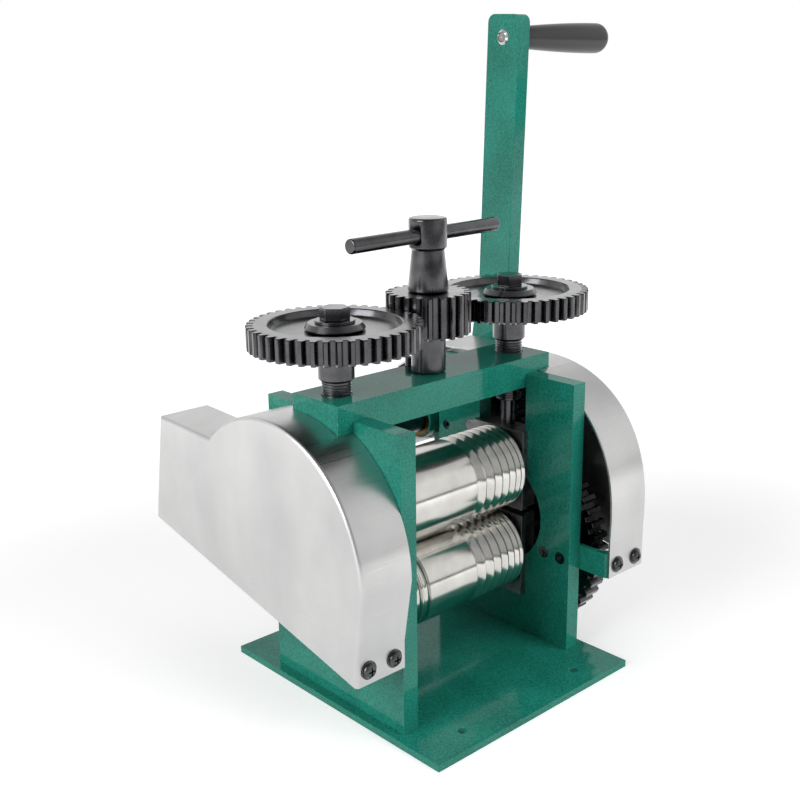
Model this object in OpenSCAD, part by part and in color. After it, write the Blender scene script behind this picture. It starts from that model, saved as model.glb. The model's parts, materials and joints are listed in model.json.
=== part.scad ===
// Hand cranked jewellers rolling mill with wire grooves.
// X runs along the rolls towards the crank arm, Y to the rear, Z up.
// The origin is the centre of the base plate's underside.

/* [Base] */
// How far the base plate reaches beyond a side plate along the rolls
base_lip = 6; // [4:0.5:12]
// Depth of the base plate from front to rear
base_y = 172; // [150:1:200]
// Thickness of the base plate
base_t = 4; // [3:0.5:8]
// Distance between bench holes along the rolls
base_hole_dx = 92; // [70:1:110]
// Distance between bench holes from front to rear
base_hole_dy = 144; // [120:1:150]
// Radius of a bench hole
base_hole_r = 2.5; // [2:0.1:3.5]

/* [Side plates] */
// Distance from the end of a roll's face to its side plate
roll_end = 6; // [5.5:0.1:8]
// Thickness of a side plate
plate_t = 10; // [8:0.5:12]
// Depth of a side plate from front to rear
plate_y = 108; // [100:1:116]
// Height of a side plate above the upper bearing block
plate_over = 34.7; // [30:0.1:42]
// Half width of the open slot that guides the bearing blocks
slot_half = 18.5; // [18:0.1:20]
// Height of the slot's floor above the base plate
slot_floor = 26; // [25:0.5:26]
// Radius of the round relief opening in the right side plate
relief_r = 31.8; // [30:0.1:33]
// Height of the relief opening's centre above the base plate
relief_h = 76; // [74:0.5:78]

/* [Top beam] */
// How far the beam reaches beyond a side plate
beam_lap = 10; // [8:0.5:12]
// Thickness of the beam
beam_t = 17.7; // [16:0.1:20]
// How deep the beam sits between the slot's sides
beam_seat = 8; // [6:0.5:9]

/* [Rolls] */
// Radius of both rolls
roll_r = 25; // [24:0.1:25.5]
// Length of a roll's working face
roll_l = 110; // [106:0.5:111]
// Gap between the rolls as shown
roll_gap = 2.5; // [2.4:0.1:3]
// Height of the lower roll's axis above the base plate
lower_h = 53; // [52.8:0.1:53.5]
// Radius of a roll's journal
journal_r = 12; // [11:0.5:12.5]
// Radius of the gear seat on a roll's journal
seat_r = 10; // [9:0.5:10.5]
// Width of the land between two wire grooves
land_w = 0.8; // [0.5:0.1:1.2]
// Radius of the half round grooves at the left end of the lower roll
half_round_r = 2.2; // [1.5:0.1:2.5]

/* [Bearings] */
// Half height of an upper bearing block
block_half_h = 24.5; // [24:0.1:24.8]
// Thickness of a block's inner flange
flange_t = 3.9; // [3:0.1:3.9]
// How far the flange laps over the slot's side
flange_lap = 2; // [1.5:0.1:3]
// Outer radius of a bronze bush
bush_r = 15; // [14:0.1:15.2]
// Running clearance between a shaft and its bore
run_gap = 0.05; // [0.02:0.01:0.09]
// Clearance between faces that slide or turn past each other
face_gap = 0.3; // [0.2:0.05:0.5]
// Outer radius of a thrust washer
thrust_r = 18; // [16:0.5:20]

/* [Roll setting] */
// Radius of a pressure screw's thread
screw_r = 8; // [7:0.5:8.5]
// Pitch of the pressure screw's thread
screw_pitch = 1.5; // [1.25:0.25:2]
// Radius of a pressure screw's plain tip
tip_r = 4.5; // [4:0.1:5]
// Teeth of a setting gear
set_teeth = 44; // [44:2:44]
// Teeth of the centre pinion
pinion_teeth = 22; // [22:2:22]
// Face width of a setting gear
set_gear_w = 12.6; // [11:0.1:14]
// Height of a setting gear's underside above the beam
set_gear_h = 25.6; // [24:0.1:27]
// Face width of the centre pinion
pinion_w = 23; // [21:0.5:24]
// Height of the centre post above the beam
post_h = 21.8; // [20:0.1:22]
// Radius of the centre post
post_r = 9.6; // [9:0.1:10.5]
// Radius of the post's spindle inside the handle
spindle_r = 6; // [5:0.5:6.5]
// Height of the handle's hub above the pinion
hub_h = 40.1; // [38:0.1:44]
// Radius of the handle's hub at the cross bar
hub_r = 10.4; // [10:0.1:12]
// Radius of the handle's cone at the pinion
cone_r = 11.2; // [10.5:0.1:12]
// Radius of the handle's neck
neck_r = 8.9; // [8.5:0.1:9.5]
// Radius of the sliding cross bar
bar_r = 4; // [3.5:0.1:4.5]
// Length of the sliding cross bar
bar_l = 114.4; // [100:0.1:130]
// How far the cross bar is pushed towards the crank side
bar_shift = -0.8; // [-20:0.1:20]
// Turn of the cross bar from the roll axis
bar_turn = 3.3; // [0:0.1:20]

/* [Drive] */
// Module of the upper roll's gear and its pinion
left_module = 2.25; // [2.2:0.01:2.25]
// Module of the lower roll's gear train
right_module = 2.5; // [2.45:0.01:2.5]
// Teeth of both roll gears
roll_teeth = 44; // [44:1:44]
// Teeth of both crank pinions
drive_teeth = 18; // [18:1:18]
// Teeth of the idler gear
idler_teeth = 16; // [16:1:16]
// Face width of the drive gears
drive_w = 12; // [10:0.5:12]
// Distance of the drive gears from a side plate
drive_off = 13; // [12.5:0.1:14]
// Place of the crank shaft behind the rolls
crank_y = 69; // [68.5:0.1:70]
// Height of the crank shaft above the base plate
crank_h = 119; // [118.5:0.1:120]
// Radius of the crank shaft
shaft_r = 8; // [7:0.1:8.5]
// Radius of the idler's stud
stud_r = 6; // [5:0.1:6.5]

/* [Crank] */
// Thickness of the crank arm
arm_t = 10; // [8:0.5:12]
// Width of the crank arm
arm_w = 25.5; // [22:0.5:28]
// Clearance between the arm and the right setting gear
arm_clear = 1; // [0.5:0.1:3]
// Height of the arm's bend above the crank shaft
bend_h = 85.9; // [60:1:120]
// How far the bend lies in front of the crank shaft
bend_y = 12.9; // [0:0.5:30]
// Height of the grip's axis above the crank shaft
grip_h = 234.7; // [180:0.1:260]
// How far the grip's axis lies in front of the crank shaft
grip_y = 18.6; // [0:0.1:40]
// Length of the arm above the grip's axis
arm_tip = 13.4; // [12:0.1:20]
// Length of the grip
grip_l = 85.5; // [70:0.5:110]
// Widest radius of the grip
grip_r = 9.5; // [9:0.1:13]
// Radius of the grip at the arm
grip_root_r = 6.2; // [6:0.1:8]
// Radius of the grip's spindle
grip_pin_r = 3.5; // [3:0.1:4]

/* [Guards] */
// Thickness of the guards' sheet
sheet_t = 1.2; // [0.8:0.1:1.8]
// Distance of a guard's face from its side plate
guard_off = 33; // [32:0.5:36]
// Thickness of a guard bracket
bracket_t = 3; // [2:0.5:4]
// Height of a guard bracket
bracket_h = 15; // [12:0.5:18]

/* [Hidden] */
$fn = 96;

green = [0.08, 0.42, 0.35];
black = [0.10, 0.10, 0.11];
steel = [0.72, 0.71, 0.69];
grey = [0.45, 0.45, 0.46];
bronze = [0.70, 0.50, 0.27];
alloy = [0.80, 0.81, 0.83];
plastic = [0.06, 0.06, 0.07];

// One overrun serves all cuts.
cut = 1;
hole_edge = 0.6;

// Levels and axes of the frame
half_gap = roll_l / 2 + roll_end;
plate_out = half_gap + plate_t;
base_x = 2 * (plate_out + base_lip);
beam_x = 2 * (plate_out + beam_lap);
lower_z = base_t + lower_h;
upper_z = lower_z + 2 * roll_r + roll_gap;
lower_block_top = lower_z + block_half_h;
upper_block_top = upper_z + block_half_h;
plate_top = upper_block_top + plate_over;
plate_h = plate_top - base_t;
beam_z0 = plate_top - beam_seat;
beam_z1 = beam_z0 + beam_t;
slot_z = base_t + slot_floor;
relief_z = base_t + relief_h;
crank_z = base_t + crank_h;
screw_x = half_gap + plate_t / 2;

// Bearing blocks and rolls
block_half = slot_half - run_gap;
block_in = half_gap - (flange_t + run_gap * 2);
thrust_t = block_in - roll_l / 2 - 2 * face_gap;
nut_t = 6;
nut_r = 15;
nut_slot_w = 4;
nut_slot_d = 2;
nut_slots = 4;
nut_x = plate_out + face_gap;
nut_end = nut_x + nut_t;
journal_chamfer = 1;

// Wire grooves get narrower towards the roll's right end.
groove_pitch = [7.3, 7.1, 6.5, 6.0, 5.4, 4.5, 3.4];
groove_edge = 1.2;
half_round_pitch = 6.4;
half_round_edge = 5;
half_round_count = 2;
half_round_steps = 8;
roll_chamfer = 0.8;

// Setting gears and handle
set_module = 2 * screw_x / (set_teeth + pinion_teeth);
addendum_share = 0.75;
dedendum_share = 1;
pressure_angle = 20;
backlash = 0.15;
flank_steps = 3;
gear_z = beam_z1 + set_gear_h;
gear_top = gear_z + set_gear_w;
set_rim_r = 34;
set_recess = 4;
collar_r = 15.7;
collar_waist_r = 14;
collar_drop = 2.8;
sleeve_r = 9.5;
sleeve_l = 18.2;
sleeve_chamfer = 1.5;
thread_below = 10.7;
thread_end = beam_z0 - thread_below;
thread_depth = 0.6;
screw_neck_r = 6;
tip_depth = 8;
tip_seat = 9;
tip_neck_r = 3.2;
tip_neck_l = 3.2;
tip_pin_r = 1.2;
tip_pin_drop = 4;
tip_pin_z = upper_block_top - tip_pin_drop;
tip_pin_gap = 0.1;
tip_pin_inset = 0.5;
tip_pin_x = screw_x - tip_neck_r - tip_pin_r - tip_pin_gap;
set_washer_r = 10.5;
set_washer_t = 1.4;
set_bolt_r = 4;
set_bolt_l = 16;
set_head_af = 14;
set_head_t = 6.5;
left_head_turn = 12;
right_head_turn = 42;
post_stem_r = 6;
post_stem_l = 14;
post_foot_chamfer = 0.8;
spindle_h = 36;
spindle_z = beam_z1 + post_h;
pinion_z = spindle_z + face_gap;
handle_z = pinion_z + pinion_w;
hub_head = 17.3;
hub_flare = 1.5;
neck_z = handle_z + hub_h - hub_head;
hub_z = neck_z + hub_flare;
hub_top = handle_z + hub_h;
hub_round = 1.4;
bar_drop = 1.4;
bar_z = (hub_z + hub_top) / 2 - bar_drop;
bar_round = 0.8;
lock_h = 8;
lock_z = handle_z + lock_h;
lock_groove_r = 4.2;
lock_groove_l = 5;
lock_screw_r = 2;
lock_socket_r = 1.1;
lock_socket_d = 2;
stop_screw_r = 2.2;
stop_screw_h = 5.5;
stop_screw_depth = 8;
stop_screw_inset = 2.6;

// Drive train
drive_x = plate_out + drive_off;
drive_out = drive_x + drive_w;
big_addendum_share = 0.65;
big_rim_r = 45;
big_hub_r = 16;
big_recess = 2.5;
key_w = 5;
key_h = 5;
key_inset = 0.5;
gear_bolt_r = 4;
gear_bolt_l = 14;
gear_bolt_washer_r = 13;
gear_bolt_washer_t = 1.5;
gear_bolt_af = 13;
gear_bolt_head = 3.6;
pinion_hub_r = 12;
pinion_hub_gap = 0.4;
crank_gear_reach = right_module * (drive_teeth + idler_teeth) / 2;
roll_gear_reach = right_module * (roll_teeth + idler_teeth) / 2;
axis_dy = crank_y;
axis_dz = crank_z - lower_z;
axis_span = norm([axis_dy, axis_dz]);
axis_turn = atan2(axis_dz, axis_dy);
idler_swing = acos((pow(roll_gear_reach, 2) + pow(axis_span, 2) - pow(crank_gear_reach, 2))
    / (2 * roll_gear_reach * axis_span));
idler_turn = axis_turn + idler_swing;
idler_y = roll_gear_reach * cos(idler_turn);
idler_z = lower_z + roll_gear_reach * sin(idler_turn);
idler_phase = idler_turn + 180 + 180 / idler_teeth;
crank_turn = atan2(crank_z - idler_z, crank_y - idler_y);
idler_lead = (crank_turn - idler_phase) * idler_teeth / 360;
right_pinion_phase = crank_turn + 180 - (0.5 - idler_lead) * 360 / drive_teeth;
left_pinion_phase = atan2(upper_z - crank_z, 0 - crank_y);
upper_gear_phase = left_pinion_phase + 180 + 180 / roll_teeth;
stud_thread_r = 4;
stud_head_r = 9;
stud_head_t = 1.6;
clip_r = 8;
clip_t = 1;
clip_groove_d = 1;

// Rear brackets that carry the crank shaft
rear_t = 10;
rear_y0 = 38;
rear_half_h = 18;
rear_boss_r = 12;
rear_boss_l = 15;
rear_round = 15;
crank_bush_r = 10.5;
rear_bolt_y = 47.5;
rear_bolt_r = 3;
rear_bolt_inset = 1.2;
rear_bolt_end = 2;
rear_bolt_socket_r = 1.6;
rear_bolt_socket_d = 2;

// Crank
guard_x = plate_out + guard_off;
set_tip_r = set_module * (set_teeth / 2 + addendum_share);
arm_x = screw_x + set_tip_r + arm_clear;
arm_out = arm_x + arm_t;
arm_corner = 5;
arm_square = 11;
shaft_shoulder_r = 10;
shaft_shoulder = 2;
shaft_end_r = 5;
shaft_stub = 1.5;
shaft_left = drive_out + shaft_stub;
crank_washer_r = 10;
crank_washer_t = 1.6;
crank_nut_af = 16;
crank_nut_t = 8;
shaft_end_l = 11.5;
grip_gap = 0.5;
grip_off = 1.5;
grip_x = arm_out + grip_off;
grip_cap_l = 8.3;
grip_waist_l = 8;
spindle_head_r = 4.6;
spindle_head_t = 1.2;
spindle_ring_r = 5.6;
grip_bore_l = 74;
grip_end_steps = 6;

// Guards in side view, as places of front to rear and height
left_arc = [13, upper_z - 14.3];
left_arc_r = 74.4;
left_pinion_room = 2.5;
left_pinion_tip = left_module * (drive_teeth / 2 + addendum_share);
left_arc_end_share = (crank_z + left_pinion_tip + left_pinion_room - left_arc[1]) / left_arc_r;
left_arc_start = asin(min(1, left_arc_end_share));
left_arc_steps = 14;
left_rear_top = [crank_y + 46.8, crank_z + 26.4];
left_rear_low = [crank_y + 58.5, crank_z - 37.9];
left_front_y = -55.5;
left_front_top = 60;
left_front_low = 44.6;
right_arc = [4, upper_z - 19.5];
right_arc_y = 80;
right_arc_z = 81.5;
right_arc_power = 2.3;
right_arc_steps = 12;
quarter_turn = 90;
right_rear_top = [crank_y - 3, right_arc[1] + right_arc_z];
right_rear_mid = [crank_y + 35, crank_z + 27];
right_rear_low = [crank_y + 35, crank_z - 31];
right_front_y = -75.6;
right_front_top = 78;
right_front_low = 54.5;
guard_shaft_hole_r = 11.5;
rim_edge = 0.4;
left_bracket_z = left_front_low + rim_edge;
right_bracket_z = 54;
bracket_rear = -28;
bracket_bend_r = 3;
bracket_reach = 29;
guard_screw_x = [7.6, 24.8];
guard_screw_r = 2;
guard_head_r = 4;
guard_head_t = 2.2;
guard_washer_r = 4.9;
guard_washer_t = 0.6;
guard_head_top_share = 0.7;
guard_cross_share = 0.2;
guard_screw_l = 8;
plate_screw_y = [-34.4, -47];
plate_screw_r = 2;
plate_screw_head_r = 3.8;
plate_screw_head_t = 2;
plate_screw_slope = (plate_screw_head_r - plate_screw_r) / plate_screw_head_t;
base_screw_y = 40;
base_screw_r = 3;
base_screw_head_r = 5.6;
base_screw_head_t = 2.6;
base_screw_l = 18;
base_screw_inset = 0.2;

// Angle between a tooth's centre and its flank at a radius, in degrees
function involute(angle) = tan(angle) * 180 / PI - angle;
function tooth_half(teeth, pitch_r, base_r, r) =
    90 / teeth - backlash / 2 / pitch_r * 180 / PI
    + involute(pressure_angle) - involute(acos(min(1, base_r / max(r, base_r))));
function polar(r, a) = [r * cos(a), r * sin(a)];
// Outline of a spur gear with a tooth's centre at angle zero
function gear_points(mod, teeth, add_share) =
    let (
        pitch_r = mod * teeth / 2,
        base_r = pitch_r * cos(pressure_angle),
        root_r = pitch_r - mod * dedendum_share,
        tip = pitch_r + mod * add_share,
        radii = [for (i = [0:flank_steps]) root_r + (tip - root_r) * i / flank_steps]
    )
    [for (t = [0:teeth - 1], side = [-1, 1], i = [0:flank_steps])
        let (r = radii[side < 0 ? i : flank_steps - i])
        polar(r, t * 360 / teeth + side * tooth_half(teeth, pitch_r, base_r, r))];

// Sum of the first items of a list
function total(list, count) = count <= 0 ? 0 : list[count - 1] + total(list, count - 1);

// Open outline turned into a strip of even thickness on its right side
function unit(v) = v / norm(v);
function right_of(v) = [v[1], -v[0]];
function strip_normal(pts, i) =
    let (
        n = len(pts) - 1,
        a = right_of(unit(pts[min(i + 1, n)] - pts[min(i, n - 1)])),
        b = right_of(unit(pts[max(i, 1)] - pts[max(i - 1, 0)]))
    )
    (a + b) / (1 + a * b);
function strip(pts, t) =
    concat(pts, [for (i = [len(pts) - 1:-1:0]) pts[i] + t * strip_normal(pts, i)]);

module along_x() {
    rotate([90, 0, 90]) children();
}

// Round bar along X between two places
module bar_x(x0, x1, r, y, z) {
    translate([x0, y, z]) rotate([0, 90, 0]) cylinder(h = x1 - x0, r = r);
}

// Flat outline in Y and Z drawn out along X between two places
module sheet_x(x0, x1, pts) {
    translate([x0, 0, 0]) along_x() linear_extrude(height = x1 - x0) polygon(pts);
}

// Hexagon of a given width across flats, standing on its underside
module hexagon(af, h) {
    cylinder(h = h, r = af / sqrt(3), $fn = 6);
}

module base_plate() {
    color(green) difference() {
        translate([-base_x / 2, -base_y / 2, 0]) cube([base_x, base_y, base_t]);
        for (x = [-1, 1], y = [-1, 1]) {
            translate([x * base_hole_dx / 2, y * base_hole_dy / 2, -cut])
                cylinder(h = base_t + 2 * cut, r = base_hole_r);
            translate([x * screw_x, y * base_screw_y, -cut])
                cylinder(h = base_t + 2 * cut, r = base_screw_r);
            translate([x * screw_x, y * base_screw_y, base_screw_inset])
                cylinder(h = base_screw_head_t, r1 = base_screw_head_r, r2 = base_screw_r);
            translate([x * screw_x, y * base_screw_y, -cut])
                cylinder(h = base_screw_inset + cut, r = base_screw_head_r);
        }
    }
}

// Four countersunk screws that hold the side plates from below
module base_screws() {
    color(black) for (x = [-1, 1], y = [-1, 1]) {
        translate([x * screw_x, y * base_screw_y, base_screw_inset]) difference() {
            union() {
                cylinder(h = base_screw_head_t, r1 = base_screw_head_r, r2 = base_screw_r);
                cylinder(h = base_screw_l, r = base_screw_r);
            }
            translate([0, 0, -cut]) hexagon(base_screw_r, base_screw_head_t);
        }
    }
}

// Side plate on the right hand side, without its relief opening
module plate_body(bracket_mid) {
    difference() {
        translate([half_gap, -plate_y / 2, base_t]) cube([plate_t, plate_y, plate_h]);
        translate([half_gap - cut, -slot_half, slot_z])
            cube([plate_t + 2 * cut, 2 * slot_half, plate_h]);
        bar_x(half_gap - cut, plate_out + cut, rear_bolt_r, rear_bolt_y, crank_z);
        for (y = plate_screw_y) {
            bar_x(half_gap - cut, plate_out + cut, plate_screw_r, y, bracket_mid);
            translate([half_gap - hole_edge / 2, y, bracket_mid]) rotate([0, 90, 0])
                cylinder(h = plate_screw_head_t + hole_edge / 2,
                    r1 = plate_screw_head_r + plate_screw_slope * hole_edge / 2, r2 = plate_screw_r);
        }
        for (y = [-1, 1]) {
            translate([screw_x, y * base_screw_y, base_t - cut])
                cylinder(h = base_screw_l + base_screw_inset - base_t + cut, r = base_screw_r);
        }
    }
}

module left_side_plate() {
    color(green) mirror([1, 0, 0]) plate_body(left_bracket_z + bracket_h / 2);
}

module right_side_plate() {
    color(green) difference() {
        plate_body(right_bracket_z + bracket_h / 2);
        bar_x(half_gap - cut, plate_out + cut, relief_r, 0, relief_z);
        bar_x(half_gap - cut, plate_out + cut, stud_thread_r, idler_y, idler_z);
    }
}

module top_beam() {
    color(green) difference() {
        translate([-beam_x / 2, -slot_half, beam_z0]) cube([beam_x, 2 * slot_half, beam_t]);
        for (x = [-1, 1]) {
            translate([x * screw_x, 0, beam_z0 - cut])
                cylinder(h = beam_t + 2 * cut, r = screw_r + run_gap);
        }
        translate([0, 0, beam_z1 - post_stem_l]) cylinder(h = post_stem_l + cut, r = post_stem_r);
        translate([0, slot_half - stop_screw_inset, beam_z1 - stop_screw_depth])
            cylinder(h = stop_screw_depth + cut, r = stop_screw_r);
    }
}

// Small stop screw at the beam's rear edge
module post_stop_screw() {
    color(black) translate([0, slot_half - stop_screw_inset, beam_z1 - stop_screw_depth])
        difference() {
            cylinder(h = stop_screw_depth + stop_screw_h, r = stop_screw_r);
            translate([0, 0, stop_screw_depth + stop_screw_h - lock_socket_d])
                hexagon(stop_screw_r, lock_socket_d + cut);
        }
}

// Bracket on the outside of a side plate that carries the crank shaft
module rear_bracket_body() {
    difference() {
        union() {
            translate([plate_out, rear_y0, crank_z - rear_half_h])
                cube([rear_t, crank_y - rear_y0, 2 * rear_half_h]);
            bar_x(plate_out, plate_out + rear_t, rear_round, crank_y, crank_z);
            bar_x(plate_out - rear_boss_l, plate_out + rear_t, rear_boss_r, crank_y, crank_z);
        }
        bar_x(plate_out - rear_boss_l - cut, plate_out + rear_t + cut, crank_bush_r, crank_y, crank_z);
        bar_x(plate_out - cut, plate_out + rear_t - rear_bolt_end, rear_bolt_r, rear_bolt_y, crank_z);
    }
}

module left_rear_bracket() {
    color(green) mirror([1, 0, 0]) rear_bracket_body();
}

module right_rear_bracket() {
    color(green) rear_bracket_body();
}

// Socket screws set into the side plates from the inside
module rear_bracket_bolts() {
    color(black) for (side = [0, 1]) mirror([side, 0, 0]) difference() {
        bar_x(half_gap + rear_bolt_inset, plate_out + rear_t - rear_bolt_end, rear_bolt_r,
            rear_bolt_y, crank_z);
        translate([half_gap + rear_bolt_inset - cut, rear_bolt_y, crank_z]) rotate([0, 90, 0])
            hexagon(rear_bolt_socket_r * 2, rear_bolt_socket_d + cut);
    }
}

module crank_bush_body() {
    difference() {
        bar_x(plate_out - rear_boss_l, plate_out + rear_t, crank_bush_r, crank_y, crank_z);
        bar_x(plate_out - rear_boss_l - cut, plate_out + rear_t + cut, shaft_r + run_gap,
            crank_y, crank_z);
    }
}

module left_crank_bush() {
    color(bronze) mirror([1, 0, 0]) crank_bush_body();
}

module right_crank_bush() {
    color(bronze) crank_bush_body();
}

// Bearing block with its inner flange, from a bottom to a top level
module block_body(z0, z1, axis_z) {
    difference() {
        union() {
            translate([block_in, -block_half, z0]) cube([plate_out - block_in, 2 * block_half, z1 - z0]);
            translate([block_in, -slot_half - flange_lap, z0])
                cube([flange_t, 2 * (slot_half + flange_lap), z1 - z0]);
        }
        bar_x(block_in - cut, plate_out + cut, bush_r, 0, axis_z);
    }
}

// Upper block with the seat for the pressure screw's tip and its pin
module upper_block_body() {
    difference() {
        block_body(upper_z - block_half_h, upper_block_top, upper_z);
        translate([screw_x, 0, upper_block_top - tip_depth - face_gap])
            cylinder(h = tip_seat + cut, r = tip_r + run_gap);
        translate([tip_pin_x, -slot_half - flange_lap - cut, tip_pin_z]) rotate([-90, 0, 0])
            cylinder(h = 2 * (slot_half + flange_lap + cut), r = tip_pin_r);
    }
}

module left_lower_block() {
    color(grey) mirror([1, 0, 0]) block_body(slot_z, lower_block_top, lower_z);
}

module right_lower_block() {
    color(grey) block_body(slot_z, lower_block_top, lower_z);
}

module left_upper_block() {
    color(grey) mirror([1, 0, 0]) upper_block_body();
}

module right_upper_block() {
    color(grey) upper_block_body();
}

// Pair of bronze bushes for one roll
module bush_pair(axis_z) {
    for (side = [0, 1]) mirror([side, 0, 0]) difference() {
        bar_x(block_in, plate_out, bush_r, 0, axis_z);
        bar_x(block_in - cut, plate_out + cut, journal_r + run_gap, 0, axis_z);
    }
}

module upper_bushes() {
    color(bronze) bush_pair(upper_z);
}

module lower_bushes() {
    color(bronze) bush_pair(lower_z);
}

// Pins that hook the pressure screws' necks so that they lift the upper blocks
module screw_pins() {
    color(steel) for (side = [0, 1]) mirror([side, 0, 0])
        translate([tip_pin_x, tip_pin_inset - block_half, tip_pin_z]) rotate([-90, 0, 0])
            cylinder(h = 2 * (block_half - tip_pin_inset), r = tip_pin_r);
}

// Loose washers between a roll's shoulders and its blocks
module thrust_pair(axis_z) {
    for (side = [0, 1]) mirror([side, 0, 0]) difference() {
        bar_x(roll_l / 2 + face_gap, roll_l / 2 + face_gap + thrust_t, thrust_r, 0, axis_z);
        bar_x(roll_l / 2, block_in + cut, journal_r + run_gap, 0, axis_z);
    }
}

module upper_thrust_washers() {
    color(bronze) thrust_pair(upper_z);
}

module lower_thrust_washers() {
    color(bronze) thrust_pair(lower_z);
}

// Profile of the V grooves as places along the roll and radii
function groove_profile() =
    let (start = roll_l / 2 - groove_edge - total(groove_pitch, len(groove_pitch)))
    [for (i = [0:len(groove_pitch) - 1], k = [0:2])
        let (
            x0 = start + total(groove_pitch, i) + land_w,
            half_w = (groove_pitch[i] - land_w) / 2
        )
        [x0 + k * half_w, k == 1 ? roll_r - half_w : roll_r]];

// Profile of the half round grooves at the left end
function half_round_profile(count) =
    [for (i = [0:1:count - 1], k = [0:half_round_steps])
        let (a = 180 - k * 180 / half_round_steps)
        [-roll_l / 2 + half_round_edge + i * half_round_pitch + half_round_r * cos(a),
            roll_r - half_round_r * sin(a)]];

// Roll with its journals, turned about X, from its left end to its right end
module roll_body(axis_z, left_seat, right_seat, half_rounds) {
    left_step = left_seat ? plate_out + face_gap : nut_end + journal_chamfer;
    right_step = right_seat ? nut_end + face_gap : nut_end + journal_chamfer;
    left_r = left_seat ? seat_r : journal_r - journal_chamfer;
    right_r = right_seat ? seat_r : journal_r - journal_chamfer;
    left_end = left_seat ? drive_out : left_step + journal_chamfer;
    right_end = right_seat ? drive_out : right_step + journal_chamfer;
    profile = concat(
        [[-left_end, 0], [-left_end, left_r], [-left_step, left_r], [-left_step, journal_r],
            [-roll_l / 2, journal_r], [-roll_l / 2, roll_r - roll_chamfer],
            [-roll_l / 2 + roll_chamfer, roll_r]],
        half_round_profile(half_rounds),
        groove_profile(),
        [[roll_l / 2, roll_r], [roll_l / 2, journal_r], [right_step, journal_r],
            [right_step, right_r], [right_end, right_r], [right_end, 0]]
    );
    translate([0, 0, axis_z]) rotate([0, 90, 0]) rotate_extrude()
        polygon([for (p = profile) [p[1], p[0]]]);
}

// Space of a gear key on top of a journal, between two places along X
module key_space(x0, x1, axis_z, grow) {
    translate([x0, -key_w / 2, axis_z + seat_r - key_h / 2 + grow])
        cube([x1 - x0, key_w, key_h - grow]);
}

module upper_roll() {
    color(steel) difference() {
        roll_body(upper_z, true, false, 0);
        key_space(-drive_out + key_inset, -drive_x - key_inset, upper_z, 0);
        bar_x(-drive_out - cut, -drive_out + gear_bolt_l, gear_bolt_r, 0, upper_z);
    }
}

module lower_roll() {
    color(steel) difference() {
        roll_body(lower_z, false, true, half_round_count);
        key_space(drive_x + key_inset, drive_out - key_inset, lower_z, 0);
        bar_x(drive_out - gear_bolt_l, drive_out + cut, gear_bolt_r, 0, lower_z);
    }
}

module upper_gear_key() {
    color(grey) key_space(-drive_out + key_inset, -drive_x - key_inset, upper_z, 0);
}

module lower_gear_key() {
    color(grey) key_space(drive_x + key_inset, drive_out - key_inset, lower_z, 0);
}

// Large gear on a roll's journal, on the right hand side
module roll_gear_body(mod, add_share, phase, hub_x, axis_z, outer_x) {
    difference() {
        union() {
            translate([drive_x, 0, axis_z]) along_x() rotate([0, 0, phase])
                linear_extrude(height = drive_w) polygon(gear_points(mod, roll_teeth, add_share));
            bar_x(hub_x, drive_x + cut, big_hub_r, 0, axis_z);
        }
        difference() {
            bar_x(drive_out - big_recess, drive_out + cut, big_rim_r, 0, axis_z);
            bar_x(drive_out - big_recess - cut, drive_out + 2 * cut, big_hub_r, 0, axis_z);
        }
        bar_x(hub_x - cut, outer_x + cut, seat_r, 0, axis_z);
        key_space(drive_x + key_inset, drive_out - key_inset, axis_z, 0);
    }
}

module upper_roll_gear() {
    color(black) mirror([1, 0, 0])
        roll_gear_body(left_module, addendum_share, upper_gear_phase, plate_out + 2 * face_gap,
            upper_z, drive_out);
}

module lower_roll_gear() {
    color(black)
        roll_gear_body(right_module, big_addendum_share, idler_turn, nut_end + 2 * face_gap,
            lower_z, drive_out);
}

// Hexagon bolt and washer that hold a roll gear on its journal
module gear_bolt_body(axis_z) {
    bar_x(drive_out - gear_bolt_l, drive_out + cut, gear_bolt_r, 0, axis_z);
    bar_x(drive_out, drive_out + gear_bolt_washer_t, gear_bolt_washer_r, 0, axis_z);
    translate([drive_out + gear_bolt_washer_t, 0, axis_z]) rotate([0, 90, 0])
        hexagon(gear_bolt_af, gear_bolt_head);
}

module upper_gear_bolt() {
    color(black) mirror([1, 0, 0]) gear_bolt_body(upper_z);
}

module lower_gear_bolt() {
    color(black) gear_bolt_body(lower_z);
}

// Slotted ring nut on a journal, on the right hand side
module ring_nut_body(axis_z) {
    difference() {
        bar_x(nut_x, nut_end, nut_r, 0, axis_z);
        bar_x(nut_x - cut, nut_end + cut, journal_r, 0, axis_z);
        for (i = [0:nut_slots - 1]) {
            translate([nut_x - cut, 0, axis_z]) rotate([360 / nut_slots * i, 0, 0])
                translate([0, -nut_slot_w / 2, nut_r - nut_slot_d])
                    cube([nut_t + 2 * cut, nut_slot_w, nut_slot_d + cut]);
        }
    }
}

module upper_lock_nut() {
    color(grey) ring_nut_body(upper_z);
}

module lower_right_nut() {
    color(grey) ring_nut_body(lower_z);
}

module lower_left_nut() {
    color(grey) mirror([1, 0, 0]) ring_nut_body(lower_z);
}

module crank_shaft() {
    color(grey) {
        bar_x(-shaft_left, arm_x, shaft_r, crank_y, crank_z);
        bar_x(arm_x - shaft_shoulder, arm_x, shaft_shoulder_r, crank_y, crank_z);
        translate([arm_x - cut, crank_y - arm_square / 2, crank_z - arm_square / 2])
            cube([arm_t + cut, arm_square, arm_square]);
        bar_x(arm_out - cut, arm_out + shaft_end_l, shaft_end_r, crank_y, crank_z);
    }
}

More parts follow.
